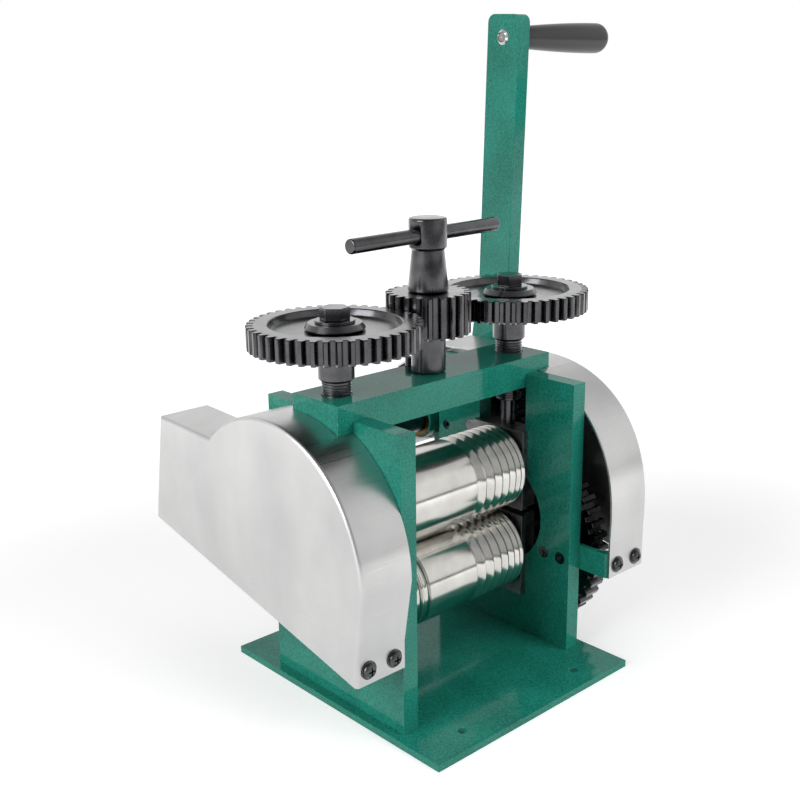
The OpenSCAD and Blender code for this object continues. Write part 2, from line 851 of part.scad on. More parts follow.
// Pinion on the crank shaft, on the right hand side
module drive_pinion_body(mod, phase) {
    difference() {
        union() {
            translate([drive_x, crank_y, crank_z]) along_x() rotate([0, 0, phase])
                linear_extrude(height = drive_w)
                    polygon(gear_points(mod, drive_teeth, addendum_share));
            bar_x(plate_out + rear_t + pinion_hub_gap, drive_x + cut, pinion_hub_r, crank_y, crank_z);
        }
        bar_x(plate_out, drive_out + cut, shaft_r, crank_y, crank_z);
    }
}

module left_drive_pinion() {
    color(black) mirror([1, 0, 0]) drive_pinion_body(left_module, left_pinion_phase);
}

module right_drive_pinion() {
    color(black) drive_pinion_body(right_module, right_pinion_phase);
}

// Stud screwed into the right side plate that carries the idler
module idler_stud() {
    color(grey) difference() {
        union() {
            bar_x(half_gap, plate_out + cut, stud_thread_r, idler_y, idler_z);
            bar_x(plate_out, drive_out + stud_head_t + clip_t, stud_r, idler_y, idler_z);
            bar_x(plate_out, drive_x - face_gap, stud_head_r, idler_y, idler_z);
        }
        difference() {
            bar_x(drive_out + face_gap, drive_out + face_gap + clip_t, stud_r + cut, idler_y, idler_z);
            bar_x(drive_out, drive_out + stud_head_t + clip_t, stud_r - clip_groove_d,
                idler_y, idler_z);
        }
    }
}

module idler_gear() {
    color(black) difference() {
        translate([drive_x, idler_y, idler_z]) along_x() rotate([0, 0, idler_phase])
            linear_extrude(height = drive_w)
                polygon(gear_points(right_module, idler_teeth, addendum_share));
        bar_x(drive_x - cut, drive_out + cut, stud_r + run_gap, idler_y, idler_z);
    }
}

module idler_clip() {
    color(steel) difference() {
        bar_x(drive_out + face_gap, drive_out + face_gap + clip_t, clip_r, idler_y, idler_z);
        bar_x(drive_out, drive_out + face_gap + clip_t + cut, stud_r - clip_groove_d,
            idler_y, idler_z);
    }
}

// Outline of the crank arm in Y and Z, from its round lower end
arm_hub = [crank_y, crank_z];
arm_bend = [crank_y - bend_y, crank_z + bend_h];
arm_grip = [crank_y - grip_y, crank_z + grip_h];
arm_dir1 = unit(arm_bend - arm_hub);
arm_dir2 = unit(arm_grip - arm_bend);
arm_side1 = right_of(arm_dir1);
arm_side2 = right_of(arm_dir2);
arm_mitre = (arm_side1 + arm_side2) / (1 + arm_side1 * arm_side2);
arm_turn1 = atan2(arm_dir1[1], arm_dir1[0]);
arm_turn2 = atan2(arm_dir2[1], arm_dir2[0]);
arm_end = arm_grip + arm_dir2 * (arm_tip - arm_corner);
arm_end_side = arm_side2 * (arm_w / 2 - arm_corner);
arc_steps = 10;
function arm_outline() = concat(
    [for (i = [0:2 * arc_steps]) arm_hub + polar(arm_w / 2, arm_turn1 + 90 + 180 * i / (2 * arc_steps))],
    [arm_bend + arm_mitre * arm_w / 2],
    [for (i = [0:arc_steps])
        arm_end + arm_end_side + polar(arm_corner, arm_turn2 - 90 + 90 * i / arc_steps)],
    [for (i = [0:arc_steps])
        arm_end - arm_end_side + polar(arm_corner, arm_turn2 + 90 * i / arc_steps)],
    [arm_bend - arm_mitre * arm_w / 2]
);

module crank_arm() {
    color(green) difference() {
        sheet_x(arm_x, arm_out, arm_outline());
        translate([arm_x - cut, crank_y - arm_square / 2, crank_z - arm_square / 2])
            cube([arm_t + 2 * cut, arm_square, arm_square]);
        bar_x(arm_x - cut, arm_out + cut, grip_pin_r, arm_grip[0], arm_grip[1]);
    }
}

module crank_washer() {
    color(black) difference() {
        bar_x(arm_out, arm_out + crank_washer_t, crank_washer_r, crank_y, crank_z);
        bar_x(arm_out - cut, arm_out + crank_washer_t + cut, shaft_end_r, crank_y, crank_z);
    }
}

module crank_nut() {
    color(black) difference() {
        translate([arm_out + crank_washer_t, crank_y, crank_z]) rotate([0, 90, 0])
            hexagon(crank_nut_af, crank_nut_t);
        bar_x(arm_out, arm_out + crank_washer_t + crank_nut_t + cut, shaft_end_r, crank_y, crank_z);
    }
}

// Spindle riveted into the arm, with a ring that the grip runs against
module grip_spindle() {
    color(steel) {
        bar_x(arm_x - spindle_head_t, arm_x, spindle_head_r, arm_grip[0], arm_grip[1]);
        bar_x(arm_x - cut, grip_x + grip_bore_l - 2 * grip_gap, grip_pin_r, arm_grip[0], arm_grip[1]);
        bar_x(arm_out, grip_x - grip_gap, spindle_ring_r, arm_grip[0], arm_grip[1]);
    }
}

// Tapered grip with a domed end that turns freely on its spindle
module handle_grip() {
    body_l = grip_l - grip_cap_l;
    profile = concat(
        [[grip_pin_r + run_gap, 0], [grip_root_r, 0], [grip_root_r + hole_edge, grip_waist_l]],
        [for (i = [0:grip_end_steps])
            [grip_r * cos(90 * i / grip_end_steps), body_l + grip_cap_l * sin(90 * i / grip_end_steps)]],
        [[0, grip_bore_l], [grip_pin_r + run_gap, grip_bore_l]]
    );
    color(plastic) translate([grip_x, arm_grip[0], arm_grip[1]]) rotate([0, 90, 0])
        rotate_extrude() polygon(profile);
}

// Profile of a pressure screw's threaded length as radii and heights
function thread_profile(z0, z1) =
    let (turns = floor((z1 - z0) / screw_pitch))
    [for (i = [0:turns - 1], k = [0:1])
        [k == 0 ? screw_r : screw_r - thread_depth, z0 + (i + (k + 1) / 2) * screw_pitch]];

module pressure_screw_body() {
    tip_z = upper_block_top - tip_depth;
    neck_low = tip_pin_z - tip_neck_l / 2;
    neck_high = tip_pin_z + tip_neck_l / 2;
    sleeve_z = gear_z - sleeve_l;
    profile = concat(
        [[0, tip_z], [tip_r, tip_z], [tip_r, neck_low], [tip_neck_r, neck_low],
            [tip_neck_r, neck_high], [tip_r, neck_high], [tip_r, thread_end],
            [screw_r - thread_depth, thread_end]],
        thread_profile(thread_end, sleeve_z - screw_pitch),
        [[screw_r - thread_depth, sleeve_z], [sleeve_r - sleeve_chamfer, sleeve_z],
            [sleeve_r, sleeve_z + sleeve_chamfer], [sleeve_r, gear_z], [screw_neck_r, gear_z],
            [screw_neck_r, gear_top], [set_bolt_r, gear_top], [set_bolt_r, gear_top - set_bolt_l],
            [0, gear_top - set_bolt_l]]
    );
    translate([screw_x, 0, 0]) rotate_extrude() polygon(profile);
}

module left_pressure_screw() {
    color(black) mirror([1, 0, 0]) pressure_screw_body();
}

module right_pressure_screw() {
    color(black) pressure_screw_body();
}

// Setting gear with a dished top and a bevelled collar
module screw_gear_body(phase) {
    floor_z = set_gear_w - set_recess;
    difference() {
        rotate([0, 0, phase]) linear_extrude(height = set_gear_w)
            polygon(gear_points(set_module, set_teeth, addendum_share));
        translate([0, 0, floor_z]) cylinder(h = set_recess + cut, r = set_rim_r);
        translate([0, 0, -cut]) cylinder(h = set_gear_w + 2 * cut, r = screw_neck_r);
    }
    rotate_extrude() polygon([
        [screw_neck_r, floor_z - cut], [collar_waist_r, floor_z - cut], [collar_waist_r, floor_z],
        [collar_r, set_gear_w - collar_drop], [collar_waist_r, set_gear_w],
        [screw_neck_r, set_gear_w]
    ]);
}

module left_screw_gear() {
    color(black) translate([-screw_x, 0, gear_z]) screw_gear_body(180 / set_teeth);
}

module right_screw_gear() {
    color(black) translate([screw_x, 0, gear_z]) screw_gear_body(180 + 180 / set_teeth);
}

module set_washer_body() {
    translate([0, 0, gear_top]) difference() {
        cylinder(h = set_washer_t, r = set_washer_r);
        translate([0, 0, -cut]) cylinder(h = set_washer_t + 2 * cut, r = set_bolt_r);
    }
}

module left_gear_washer() {
    color(black) translate([-screw_x, 0, 0]) set_washer_body();
}

module right_gear_washer() {
    color(black) translate([screw_x, 0, 0]) set_washer_body();
}

// Hexagon bolt that holds a setting gear on its screw
module set_bolt_body(head_turn) {
    head_z = gear_top + set_washer_t;
    bolt_z = gear_top - set_bolt_l;
    translate([0, 0, bolt_z]) cylinder(h = set_bolt_l + set_washer_t + cut, r = set_bolt_r);
    translate([0, 0, head_z]) rotate([0, 0, head_turn]) hexagon(set_head_af, set_head_t);
}

module left_gear_bolt() {
    color(black) translate([-screw_x, 0, 0]) set_bolt_body(left_head_turn);
}

module right_gear_bolt() {
    color(black) translate([screw_x, 0, 0]) set_bolt_body(right_head_turn);
}

// Post on the beam with the spindle that the handle turns on
module centre_post() {
    groove_z = lock_z - lock_groove_l / 2;
    top_z = spindle_z + spindle_h;
    color(black) rotate_extrude() polygon([
        [0, beam_z1 - post_stem_l], [post_stem_r, beam_z1 - post_stem_l], [post_stem_r, beam_z1],
        [post_r - post_foot_chamfer, beam_z1], [post_r, beam_z1 + post_foot_chamfer],
        [post_r, spindle_z], [spindle_r, spindle_z], [spindle_r, groove_z],
        [lock_groove_r, groove_z], [lock_groove_r, groove_z + lock_groove_l],
        [spindle_r, groove_z + lock_groove_l], [spindle_r, top_z], [0, top_z]
    ]);
}

module centre_pinion() {
    color(black) difference() {
        translate([0, 0, pinion_z]) linear_extrude(height = pinion_w)
            polygon(gear_points(set_module, pinion_teeth, addendum_share));
        translate([0, 0, pinion_z - cut]) cylinder(h = pinion_w + 2 * cut, r = spindle_r + run_gap);
    }
}

module t_handle_hub() {
    color(black) difference() {
        rotate_extrude() polygon([
            [0, handle_z], [cone_r - hub_round, handle_z], [cone_r, handle_z + hub_round],
            [neck_r, neck_z], [hub_r, hub_z], [hub_r, hub_top - hub_round],
            [hub_r - hub_round, hub_top], [0, hub_top]
        ]);
        translate([0, 0, handle_z - cut])
            cylinder(h = spindle_z + spindle_h + face_gap - handle_z + cut, r = spindle_r + run_gap);
        translate([0, 0, bar_z]) rotate([0, 0, bar_turn]) rotate([0, 90, 0])
            cylinder(h = 2 * (hub_r + cut), r = bar_r + run_gap, center = true);
        translate([0, 0, lock_z]) rotate([-90, 0, 0]) cylinder(h = cone_r + cut, r = lock_screw_r);
    }
}

// Grub screw in the handle that runs in the spindle's groove
module handle_lock_screw() {
    start = lock_groove_r + face_gap;
    color(black) translate([0, start, lock_z]) rotate([-90, 0, 0]) difference() {
        cylinder(h = neck_r - start, r = lock_screw_r);
        translate([0, 0, neck_r - start - lock_socket_d])
            hexagon(lock_socket_r * 2, lock_socket_d + cut);
    }
}

module t_bar() {
    color(black) translate([0, 0, bar_z]) rotate([0, 0, bar_turn]) translate([bar_shift, 0, 0])
        rotate([0, 90, 0]) rotate_extrude() polygon([
            [0, -bar_l / 2], [bar_r - bar_round, -bar_l / 2], [bar_r, -bar_l / 2 + bar_round],
            [bar_r, bar_l / 2 - bar_round], [bar_r - bar_round, bar_l / 2], [0, bar_l / 2]
        ]);
}

// Outline of the left guard from its rear foot over the top to its front foot
function left_outline() = concat(
    [left_rear_low, left_rear_top],
    [for (i = [0:left_arc_steps])
        left_arc + polar(left_arc_r, left_arc_start + (180 - left_arc_start) * i / left_arc_steps)],
    [[left_front_y, left_front_top], [left_front_y, left_front_low]]
);

// Outline of the right guard, whose hood is a little squarer than a circle
function hood(t) = [
    right_arc[0] - right_arc_y * pow(sin(t), 2 / right_arc_power),
    right_arc[1] + right_arc_z * pow(cos(t), 2 / right_arc_power)
];
function right_outline() = concat(
    [right_rear_low, right_rear_mid, right_rear_top],
    [for (i = [0:right_arc_steps]) hood(quarter_turn * i / right_arc_steps)],
    [[right_front_y, right_front_top], [right_front_y, right_front_low]]
);

// Bent sheet guard, open towards its side plate and below, notched round the beam
module guard_body(outline, bracket_mid, front_y) {
    rim = strip([for (i = [len(outline) - 1:-1:0]) outline[i]], sheet_t);
    difference() {
        union() {
            sheet_x(guard_x - sheet_t, guard_x, outline);
            sheet_x(plate_out + face_gap, guard_x, rim);
        }
        translate([plate_out, -slot_half - face_gap, beam_z0 - face_gap])
            cube([beam_x / 2 + face_gap - plate_out, 2 * (slot_half + face_gap), beam_t + guard_off]);
        for (x = guard_screw_x) {
            translate([plate_out + x, front_y - cut, bracket_mid]) rotate([-90, 0, 0])
                cylinder(h = sheet_t + 2 * cut, r = guard_screw_r);
        }
    }
}

module left_guard() {
    color(alloy) mirror([1, 0, 0])
        guard_body(left_outline(), left_bracket_z + bracket_h / 2, left_front_y);
}

module right_guard() {
    color(alloy) difference() {
        guard_body(right_outline(), right_bracket_z + bracket_h / 2, right_front_y);
        bar_x(guard_x - sheet_t - cut, guard_x + cut, guard_shaft_hole_r, crank_y, crank_z);
    }
}

// Bent strip from the side plate's outer face to the guard's front rim
module guard_bracket_body(front_y, z0) {
    y0 = front_y + sheet_t;
    difference() {
        union() {
            translate([plate_out, y0 + bracket_bend_r, z0])
                cube([bracket_t, bracket_rear - y0 - bracket_bend_r, bracket_h]);
            translate([plate_out + bracket_bend_r, y0, z0])
                cube([bracket_reach - bracket_bend_r, bracket_t, bracket_h]);
            translate([plate_out + bracket_bend_r, y0 + bracket_bend_r, z0])
                cylinder(h = bracket_h, r = bracket_bend_r);
        }
        for (x = guard_screw_x) {
            translate([plate_out + x, y0 - cut, z0 + bracket_h / 2]) rotate([-90, 0, 0])
                cylinder(h = bracket_t + 2 * cut, r = guard_screw_r);
        }
        for (y = plate_screw_y) {
            bar_x(plate_out - cut, plate_out + bracket_t + cut, plate_screw_r, y, z0 + bracket_h / 2);
        }
    }
}

module left_guard_bracket() {
    color(green) mirror([1, 0, 0]) guard_bracket_body(left_front_y, left_bracket_z);
}

module right_guard_bracket() {
    color(green) guard_bracket_body(right_front_y, right_bracket_z);
}

// Pan head screw with a cross recess and its washer, on a guard's front rim
module guard_screw(front_y, z) {
    for (x = guard_screw_x) translate([plate_out + x, front_y, z]) rotate([90, 0, 0]) {
        difference() {
            cylinder(h = guard_washer_t, r = guard_washer_r);
            translate([0, 0, -cut]) cylinder(h = guard_washer_t + 2 * cut, r = guard_screw_r);
        }
        difference() {
            union() {
                translate([0, 0, guard_washer_t]) cylinder(h = guard_head_t / 2, r = guard_head_r);
                translate([0, 0, guard_washer_t + guard_head_t / 2])
                    cylinder(h = guard_head_t / 2, r1 = guard_head_r, r2 = guard_head_r * guard_head_top_share);
                translate([0, 0, guard_washer_t - guard_screw_l])
                    cylinder(h = guard_screw_l + cut / 2, r = guard_screw_r);
            }
            for (a = [0, 90]) rotate([0, 0, a])
                translate([-guard_head_r / 2, -guard_head_r * guard_cross_share / 2,
                    guard_washer_t + guard_head_t / 2])
                    cube([guard_head_r, guard_head_r * guard_cross_share, guard_head_t]);
        }
    }
}

// Countersunk screw through a side plate into its guard bracket
module plate_screw(z) {
    for (y = plate_screw_y) translate([half_gap, y, z]) rotate([0, 90, 0]) difference() {
        union() {
            cylinder(h = plate_screw_head_t, r1 = plate_screw_head_r, r2 = plate_screw_r);
            cylinder(h = plate_t + bracket_t, r = plate_screw_r);
        }
        translate([0, 0, -cut]) hexagon(plate_screw_r, plate_screw_head_t);
    }
}

module guard_fasteners() {
    color(black) {
        mirror([1, 0, 0]) {
            guard_screw(left_front_y, left_bracket_z + bracket_h / 2);
            plate_screw(left_bracket_z + bracket_h / 2);
        }
        guard_screw(right_front_y, right_bracket_z + bracket_h / 2);
        plate_screw(right_bracket_z + bracket_h / 2);
    }
}

base_plate();
left_side_plate();
right_side_plate();
top_beam();
base_screws();
left_rear_bracket();
right_rear_bracket();
rear_bracket_bolts();
left_crank_bush();
right_crank_bush();
left_lower_block();
right_lower_block();
lower_bushes();
left_upper_block();
right_upper_block();
upper_bushes();
screw_pins();
upper_thrust_washers();
lower_thrust_washers();
upper_roll();
upper_roll_gear();
upper_gear_key();
upper_gear_bolt();
upper_lock_nut();
lower_roll();
lower_roll_gear();
lower_gear_key();
lower_gear_bolt();
lower_right_nut();
lower_left_nut();
crank_shaft();
left_drive_pinion();
right_drive_pinion();
crank_arm();
crank_washer();
crank_nut();
grip_spindle();
handle_grip();
idler_stud();
idler_gear();
idler_clip();
left_pressure_screw();
right_pressure_screw();
left_screw_gear();
right_screw_gear();
left_gear_washer();
right_gear_washer();
left_gear_bolt();
right_gear_bolt();
centre_post();
post_stop_screw();
centre_pinion();
t_handle_hub();
handle_lock_screw();
t_bar();
left_guard();
right_guard();
left_guard_bracket();
right_guard_bracket();
guard_fasteners();
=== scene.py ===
"""Hand cranked jewellers rolling mill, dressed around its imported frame.

The frame gives every sub-part at its real size and place. This script gives each
visible one a finished mesh and the finish of the real thing: hammered green paint,
black oxide steel, ground and polished rolls, satin aluminium guards and a moulded grip.
Lengths are in metres, and MM turns millimetres into them. Names that end in mm and the
guards' outlines are in millimetres. At the end of a name, r stands for a radius, l for a
length, t for a thickness and h for a height.
"""

from __future__ import annotations

import json
import logging
import math
from dataclasses import dataclass, field
from enum import Enum

import bmesh
import bpy
from mathutils import Matrix, Vector

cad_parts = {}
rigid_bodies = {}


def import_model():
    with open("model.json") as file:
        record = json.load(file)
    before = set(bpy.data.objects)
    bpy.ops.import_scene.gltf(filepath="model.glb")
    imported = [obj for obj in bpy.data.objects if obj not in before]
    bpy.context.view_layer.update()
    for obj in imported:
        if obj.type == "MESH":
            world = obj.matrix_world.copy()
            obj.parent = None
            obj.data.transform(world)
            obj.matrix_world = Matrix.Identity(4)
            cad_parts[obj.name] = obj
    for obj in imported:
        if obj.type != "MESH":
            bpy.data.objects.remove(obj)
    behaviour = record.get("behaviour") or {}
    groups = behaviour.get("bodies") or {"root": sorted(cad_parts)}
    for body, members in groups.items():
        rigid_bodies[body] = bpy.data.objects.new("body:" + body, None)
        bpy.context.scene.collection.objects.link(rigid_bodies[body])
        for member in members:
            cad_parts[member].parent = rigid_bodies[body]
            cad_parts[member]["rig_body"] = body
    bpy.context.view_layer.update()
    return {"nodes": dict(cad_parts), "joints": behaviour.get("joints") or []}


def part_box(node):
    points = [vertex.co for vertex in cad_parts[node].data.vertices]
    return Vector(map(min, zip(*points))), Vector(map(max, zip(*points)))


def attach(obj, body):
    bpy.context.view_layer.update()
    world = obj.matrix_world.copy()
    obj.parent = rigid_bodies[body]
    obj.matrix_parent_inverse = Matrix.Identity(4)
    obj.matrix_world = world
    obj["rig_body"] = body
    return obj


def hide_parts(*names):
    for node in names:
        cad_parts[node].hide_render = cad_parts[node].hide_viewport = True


LOG = logging.getLogger("rolling_mill")
MM = 0.001
# Points closer than this are one point.
MERGE = 0.002 * MM
# Edges that turn further than this many degrees stay sharp.
SHARP = 32.0
# Faces that differ by fewer degrees than this are one flat face.
FLAT = 0.3
# The middle stretch of a noise's range, where most of its values lie.
MIDDLE = (0.3, 0.7)

Point = tuple[float, float]


class Axis(Enum):
    """The way a turned or extruded shape points, as a map from its own axes."""

    UP = "up"
    RIGHT = "right"
    LEFT = "left"

    def matrix(self, centre: Vector) -> Matrix:
        """Gives the matrix that lays a shape along this axis.

        Args:
            centre: Where the shape's own origin goes.

        Returns:
            The matrix from the shape's axes to the frame's.
        """
        rows = {
            Axis.UP: ((1, 0, 0), (0, 1, 0), (0, 0, 1)),
            Axis.RIGHT: ((0, 0, 1), (1, 0, 0), (0, 1, 0)),
            Axis.LEFT: ((0, 0, -1), (1, 0, 0), (0, 1, 0)),
        }[self]
        return Matrix.Translation(centre) @ Matrix(rows).to_4x4()


class Slot(Enum):
    """The record's material slots."""

    PAINT = "green_paint"
    BLACK = "black_oxide_steel"
    POLISHED = "polished_steel"
    GROUND = "ground_steel"
    BRONZE = "bronze"
    SHEET = "satin_aluminium"
    PLASTIC = "black_plastic"


def srgb(code: str) -> tuple[float, float, float, float]:
    """Turns an sRGB hex colour into linear values.

    Args:
        code: Six hex digits after a hash sign.

    Returns:
        Linear red, green and blue, and an alpha of one.
    """
    parts = [int(code[i:i + 2], 16) / 255 for i in (1, 3, 5)]
    red, green, blue = [p / 12.92 if p <= 0.04045 else ((p + 0.055) / 1.055) ** 2.4 for p in parts]
    return red, green, blue, 1.0


def add_node(
    tree: bpy.types.NodeTree,
    kind: str,
    settings: dict[str, object] | None = None,
    links: dict[str, bpy.types.NodeSocket] | None = None,
) -> bpy.types.Node:
    """Adds one node with its settings and its incoming links.

    Args:
        tree: The node tree that takes the node.
        kind: The node's type name.
        settings: Socket names with a value, or property names of the node.
        links: Socket names with the output that feeds each.

    Returns:
        The new node.
    """
    node = tree.nodes.new(kind)
    for name, value in (settings or {}).items():
        if hasattr(node, name):
            setattr(node, name, value)
        else:
            node.inputs[name].default_value = value
    for name, output in (links or {}).items():
        tree.links.new(output, node.inputs[name])
    return node


def new_material(name: str) -> tuple[bpy.types.Material, bpy.types.NodeTree, bpy.types.NodeSocket]:
    """Starts a material with an empty node tree.

    Args:
        name: The finish's name.

    Returns:
        The material, its node tree and the Object coordinates, in metres.
    """
    material = bpy.data.materials.new(name)
    material.use_nodes = True
    tree = material.node_tree
    tree.nodes.clear()
    coords = add_node(tree, "ShaderNodeTexCoord")
    return material, tree, coords.outputs["Object"]


def surface(
    tree: bpy.types.NodeTree,
    settings: dict[str, object],
    links: dict[str, bpy.types.NodeSocket],
) -> None:
    """Adds the Principled shader and the output.

    Args:
        tree: The material's node tree.
        settings: Values set on the shader's own sockets.
        links: Outputs that feed its sockets.
    """
    shader = add_node(tree, "ShaderNodeBsdfPrincipled", settings, links)
    add_node(tree, "ShaderNodeOutputMaterial", None, {"Surface": shader.outputs["BSDF"]})


def noise(
    tree: bpy.types.NodeTree,
    vector: bpy.types.NodeSocket,
    grain_mm: float,
    detail: float = 3.0,
    stretch: tuple[float, float, float] = (1.0, 1.0, 1.0),
) -> bpy.types.NodeSocket:
    """Adds noise with grains of a real size.

    Args:
        tree: The material's node tree.
        vector: Coordinates in metres.
        grain_mm: Size of a grain.
        detail: Octaves of finer noise.
        stretch: How much longer a grain is along X, Y and Z.

    Returns:
        The noise's value between zero and one.
    """
    mapping = add_node(
        tree, "ShaderNodeMapping", {"Scale": tuple(1 / s for s in stretch)}, {"Vector": vector}
    )
    node = add_node(
        tree,
        "ShaderNodeTexNoise",
        {"Scale": 1 / (grain_mm * MM), "Detail": detail},
        {"Vector": mapping.outputs["Vector"]},
    )
    return node.outputs["Fac"]


def ramp(
    tree: bpy.types.NodeTree,
    value: bpy.types.NodeSocket,
    low: float,
    high: float,
    start: float = 0.0,
    end: float = 1.0,
) -> bpy.types.NodeSocket:
    """Maps part of a value's range onto another range.

    Args:
        tree: The material's node tree.
        value: The value to map.
        low: Where the value's range starts.
        high: Where it ends.
        start: What low becomes.
        end: What high becomes.

    Returns:
        The mapped value.
    """
    node = add_node(
        tree,
        "ShaderNodeMapRange",
        {"From Min": low, "From Max": high, "To Min": start, "To Max": end},
        {"Value": value},
    )
    return node.outputs["Result"]


def tint(
    tree: bpy.types.NodeTree, factor: bpy.types.NodeSocket, dark: str, light: str
) -> bpy.types.NodeSocket:
    """Blends two colours by a factor.

    Args:
        tree: The material's node tree.
        factor: Zero gives the dark colour, one the light one.
        dark: Hex colour at zero.
        light: Hex colour at one.

    Returns:
        The blended colour.
    """
    node = add_node(tree, "ShaderNodeMix", {"data_type": "RGBA"})
    colour_inputs = [s for s in node.inputs if s.type == "RGBA"]
    colour_inputs[0].default_value = srgb(dark)
    colour_inputs[1].default_value = srgb(light)
    tree.links.new(factor, node.inputs[0])
    return next(s for s in node.outputs if s.type == "RGBA")


def bump(
    tree: bpy.types.NodeTree,
    height: bpy.types.NodeSocket,
    depth_mm: float,
    below: bpy.types.NodeSocket | None = None,
) -> bpy.types.NodeSocket:
    """Adds a bump of a real depth.

    Args:
        tree: The material's node tree.
        height: Height between zero and one.
        depth_mm: Depth of the whole relief.
        below: The normal of a bump that this one lies on.

    Returns:
        The bumped normal.
    """
    links = {"Height": height}
    if below is not None:
        links["Normal"] = below
    node = add_node(tree, "ShaderNodeBump", {"Strength": 1.0, "Distance": depth_mm * MM}, links)
    return node.outputs["Normal"]


@dataclass(frozen=True)
class HammeredPaint:
    """Green hammer finish stove enamel on steel plate.

    The enamel pulls into shallow dimples under two millimetres wide, and its darker
    pigment gathers between them under a clear gloss, which gives the eye a mottled
    teal with sharp reflections at a low angle.
    """

    dark: str = "#0F6657"
    light: str = "#309F8C"
    dimple_mm: float = 1.7
    dimple_span: tuple[float, float] = (0.1, 0.75)
    depth_mm: float = 0.03
    speck_mm: float = 1.1
    speck_span: tuple[float, float] = (0.34, 0.66)
    speck_weight: float = 0.5
    cloud_mm: float = 38.0
    cloud_weight: float = 0.3
    rough: tuple[float, float] = (0.3, 0.44)

    def build(self) -> bpy.types.Material:
        """Builds the material.

        Returns:
            The material.
        """
        material, tree, coords = new_material("hammered_green_enamel")
        cells = add_node(
            tree,
            "ShaderNodeTexVoronoi",
            {"feature": "SMOOTH_F1", "Scale": 1 / (self.dimple_mm * MM), "Smoothness": 0.6},
            {"Vector": coords},
        )
        specks = noise(tree, coords, self.speck_mm, 4.0)
        cloud = noise(tree, coords, self.cloud_mm, 2.0)
        dimple = ramp(tree, cells.outputs["Distance"], *self.dimple_span)
        mix = add_node(tree, "ShaderNodeMath", {"operation": "ADD"})
        shares = (
            ramp(tree, specks, *self.speck_span, 0.0, self.speck_weight),
            ramp(tree, cloud, *MIDDLE, 0.0, self.cloud_weight),
        )
        for share, socket in zip(shares, mix.inputs):
            tree.links.new(share, socket)
        normal = bump(tree, dimple, self.depth_mm)
        normal = bump(tree, specks, self.depth_mm / 4, normal)
        surface(
            tree,
            {"IOR": 1.5, "Specular IOR Level": 0.0, "Coat Weight": 0.6, "Coat Roughness": 0.1},
            {
                "Base Color": tint(tree, mix.outputs[0], self.dark, self.light),
                "Roughness": ramp(tree, dimple, 0.0, 1.0, *self.rough),
                "Normal": normal,
            },
        )
        return material


@dataclass(frozen=True)
class BlackOxide:
    """Hot blackened machined steel with a light oil film.

    The blacking keeps the cutter's fine marks, so broad faces shine grey and the
    hollows stay nearly black.
    """

    dark: str = "#2A2A2C"
    light: str = "#4C4C50"
    mark_mm: float = 0.5
    mark_stretch: tuple[float, float, float] = (1.0, 1.0, 0.4)
    mark_depth_mm: float = 0.003
    cloud_mm: float = 9.0
    rough: tuple[float, float] = (0.22, 0.36)

    def build(self) -> bpy.types.Material:
        """Builds the material.

        Returns:
            The material.
        """
        material, tree, coords = new_material("black_oxide_machined_steel")
        cloud = noise(tree, coords, self.cloud_mm, 4.0)
        marks = noise(tree, coords, self.mark_mm, 2.0, self.mark_stretch)
        surface(
            tree,
            {"Metallic": 1.0, "Coat Weight": 0.85, "Coat Roughness": 0.16},
            {
                "Base Color": tint(tree, ramp(tree, cloud, *MIDDLE), self.dark, self.light),
                "Roughness": ramp(tree, cloud, *MIDDLE, *self.rough),
                "Normal": bump(tree, marks, self.mark_depth_mm),
            },
        )
        return material


@dataclass(frozen=True)
class PolishedRoll:
    """Hardened roll steel, cylindrically ground and polished.

    The grinding leaves fine rings round the roll, so reflections stretch along them.
    """

    dark: str = "#C9C7C2"
    light: str = "#D9D7D2"
    ring_mm: float = 0.35
    ring_stretch: tuple[float, float, float] = (1.0, 90.0, 90.0)
    ring_depth_mm: float = 0.0006
    cloud_mm: float = 14.0
    rough: tuple[float, float] = (0.13, 0.2)

    def build(self) -> bpy.types.Material:
        """Builds the material.

        Returns:
            The material.
        """
        material, tree, coords = new_material("polished_roll_steel")
        rings = noise(tree, coords, self.ring_mm, 3.0, self.ring_stretch)
        cloud = noise(tree, coords, self.cloud_mm, 2.0)
        surface(
            tree,
            {"Metallic": 1.0},
            {
                "Base Color": tint(tree, ramp(tree, cloud, *MIDDLE), self.dark, self.light),
                "Roughness": ramp(tree, rings, *MIDDLE, *self.rough),
                "Normal": bump(tree, rings, self.ring_depth_mm),
            },
        )
        return material


@dataclass(frozen=True)
class GroundSteel:
    """Bare mild steel as it comes from the surface grinder, slightly dulled.

    Fine scratches along X blur its reflections into a quiet mid grey.
    """

    dark: str = "#6A6A6C"
    light: str = "#929294"
    mark_mm: float = 0.4
    mark_stretch: tuple[float, float, float] = (30.0, 1.0, 1.0)
    mark_depth_mm: float = 0.004
    cloud_mm: float = 6.0
    rough: tuple[float, float] = (0.3, 0.48)

    def build(self) -> bpy.types.Material:
        """Builds the material.

        Returns:
            The material.
        """
        material, tree, coords = new_material("ground_mild_steel")
        marks = noise(tree, coords, self.mark_mm, 3.0, self.mark_stretch)
        cloud = noise(tree, coords, self.cloud_mm, 4.0)
        surface(
            tree,
            {"Metallic": 1.0},
            {
                "Base Color": tint(tree, ramp(tree, cloud, *MIDDLE), self.dark, self.light),
                "Roughness": ramp(tree, marks, *MIDDLE, *self.rough),
                "Normal": bump(tree, marks, self.mark_depth_mm),
            },
        )
        return material


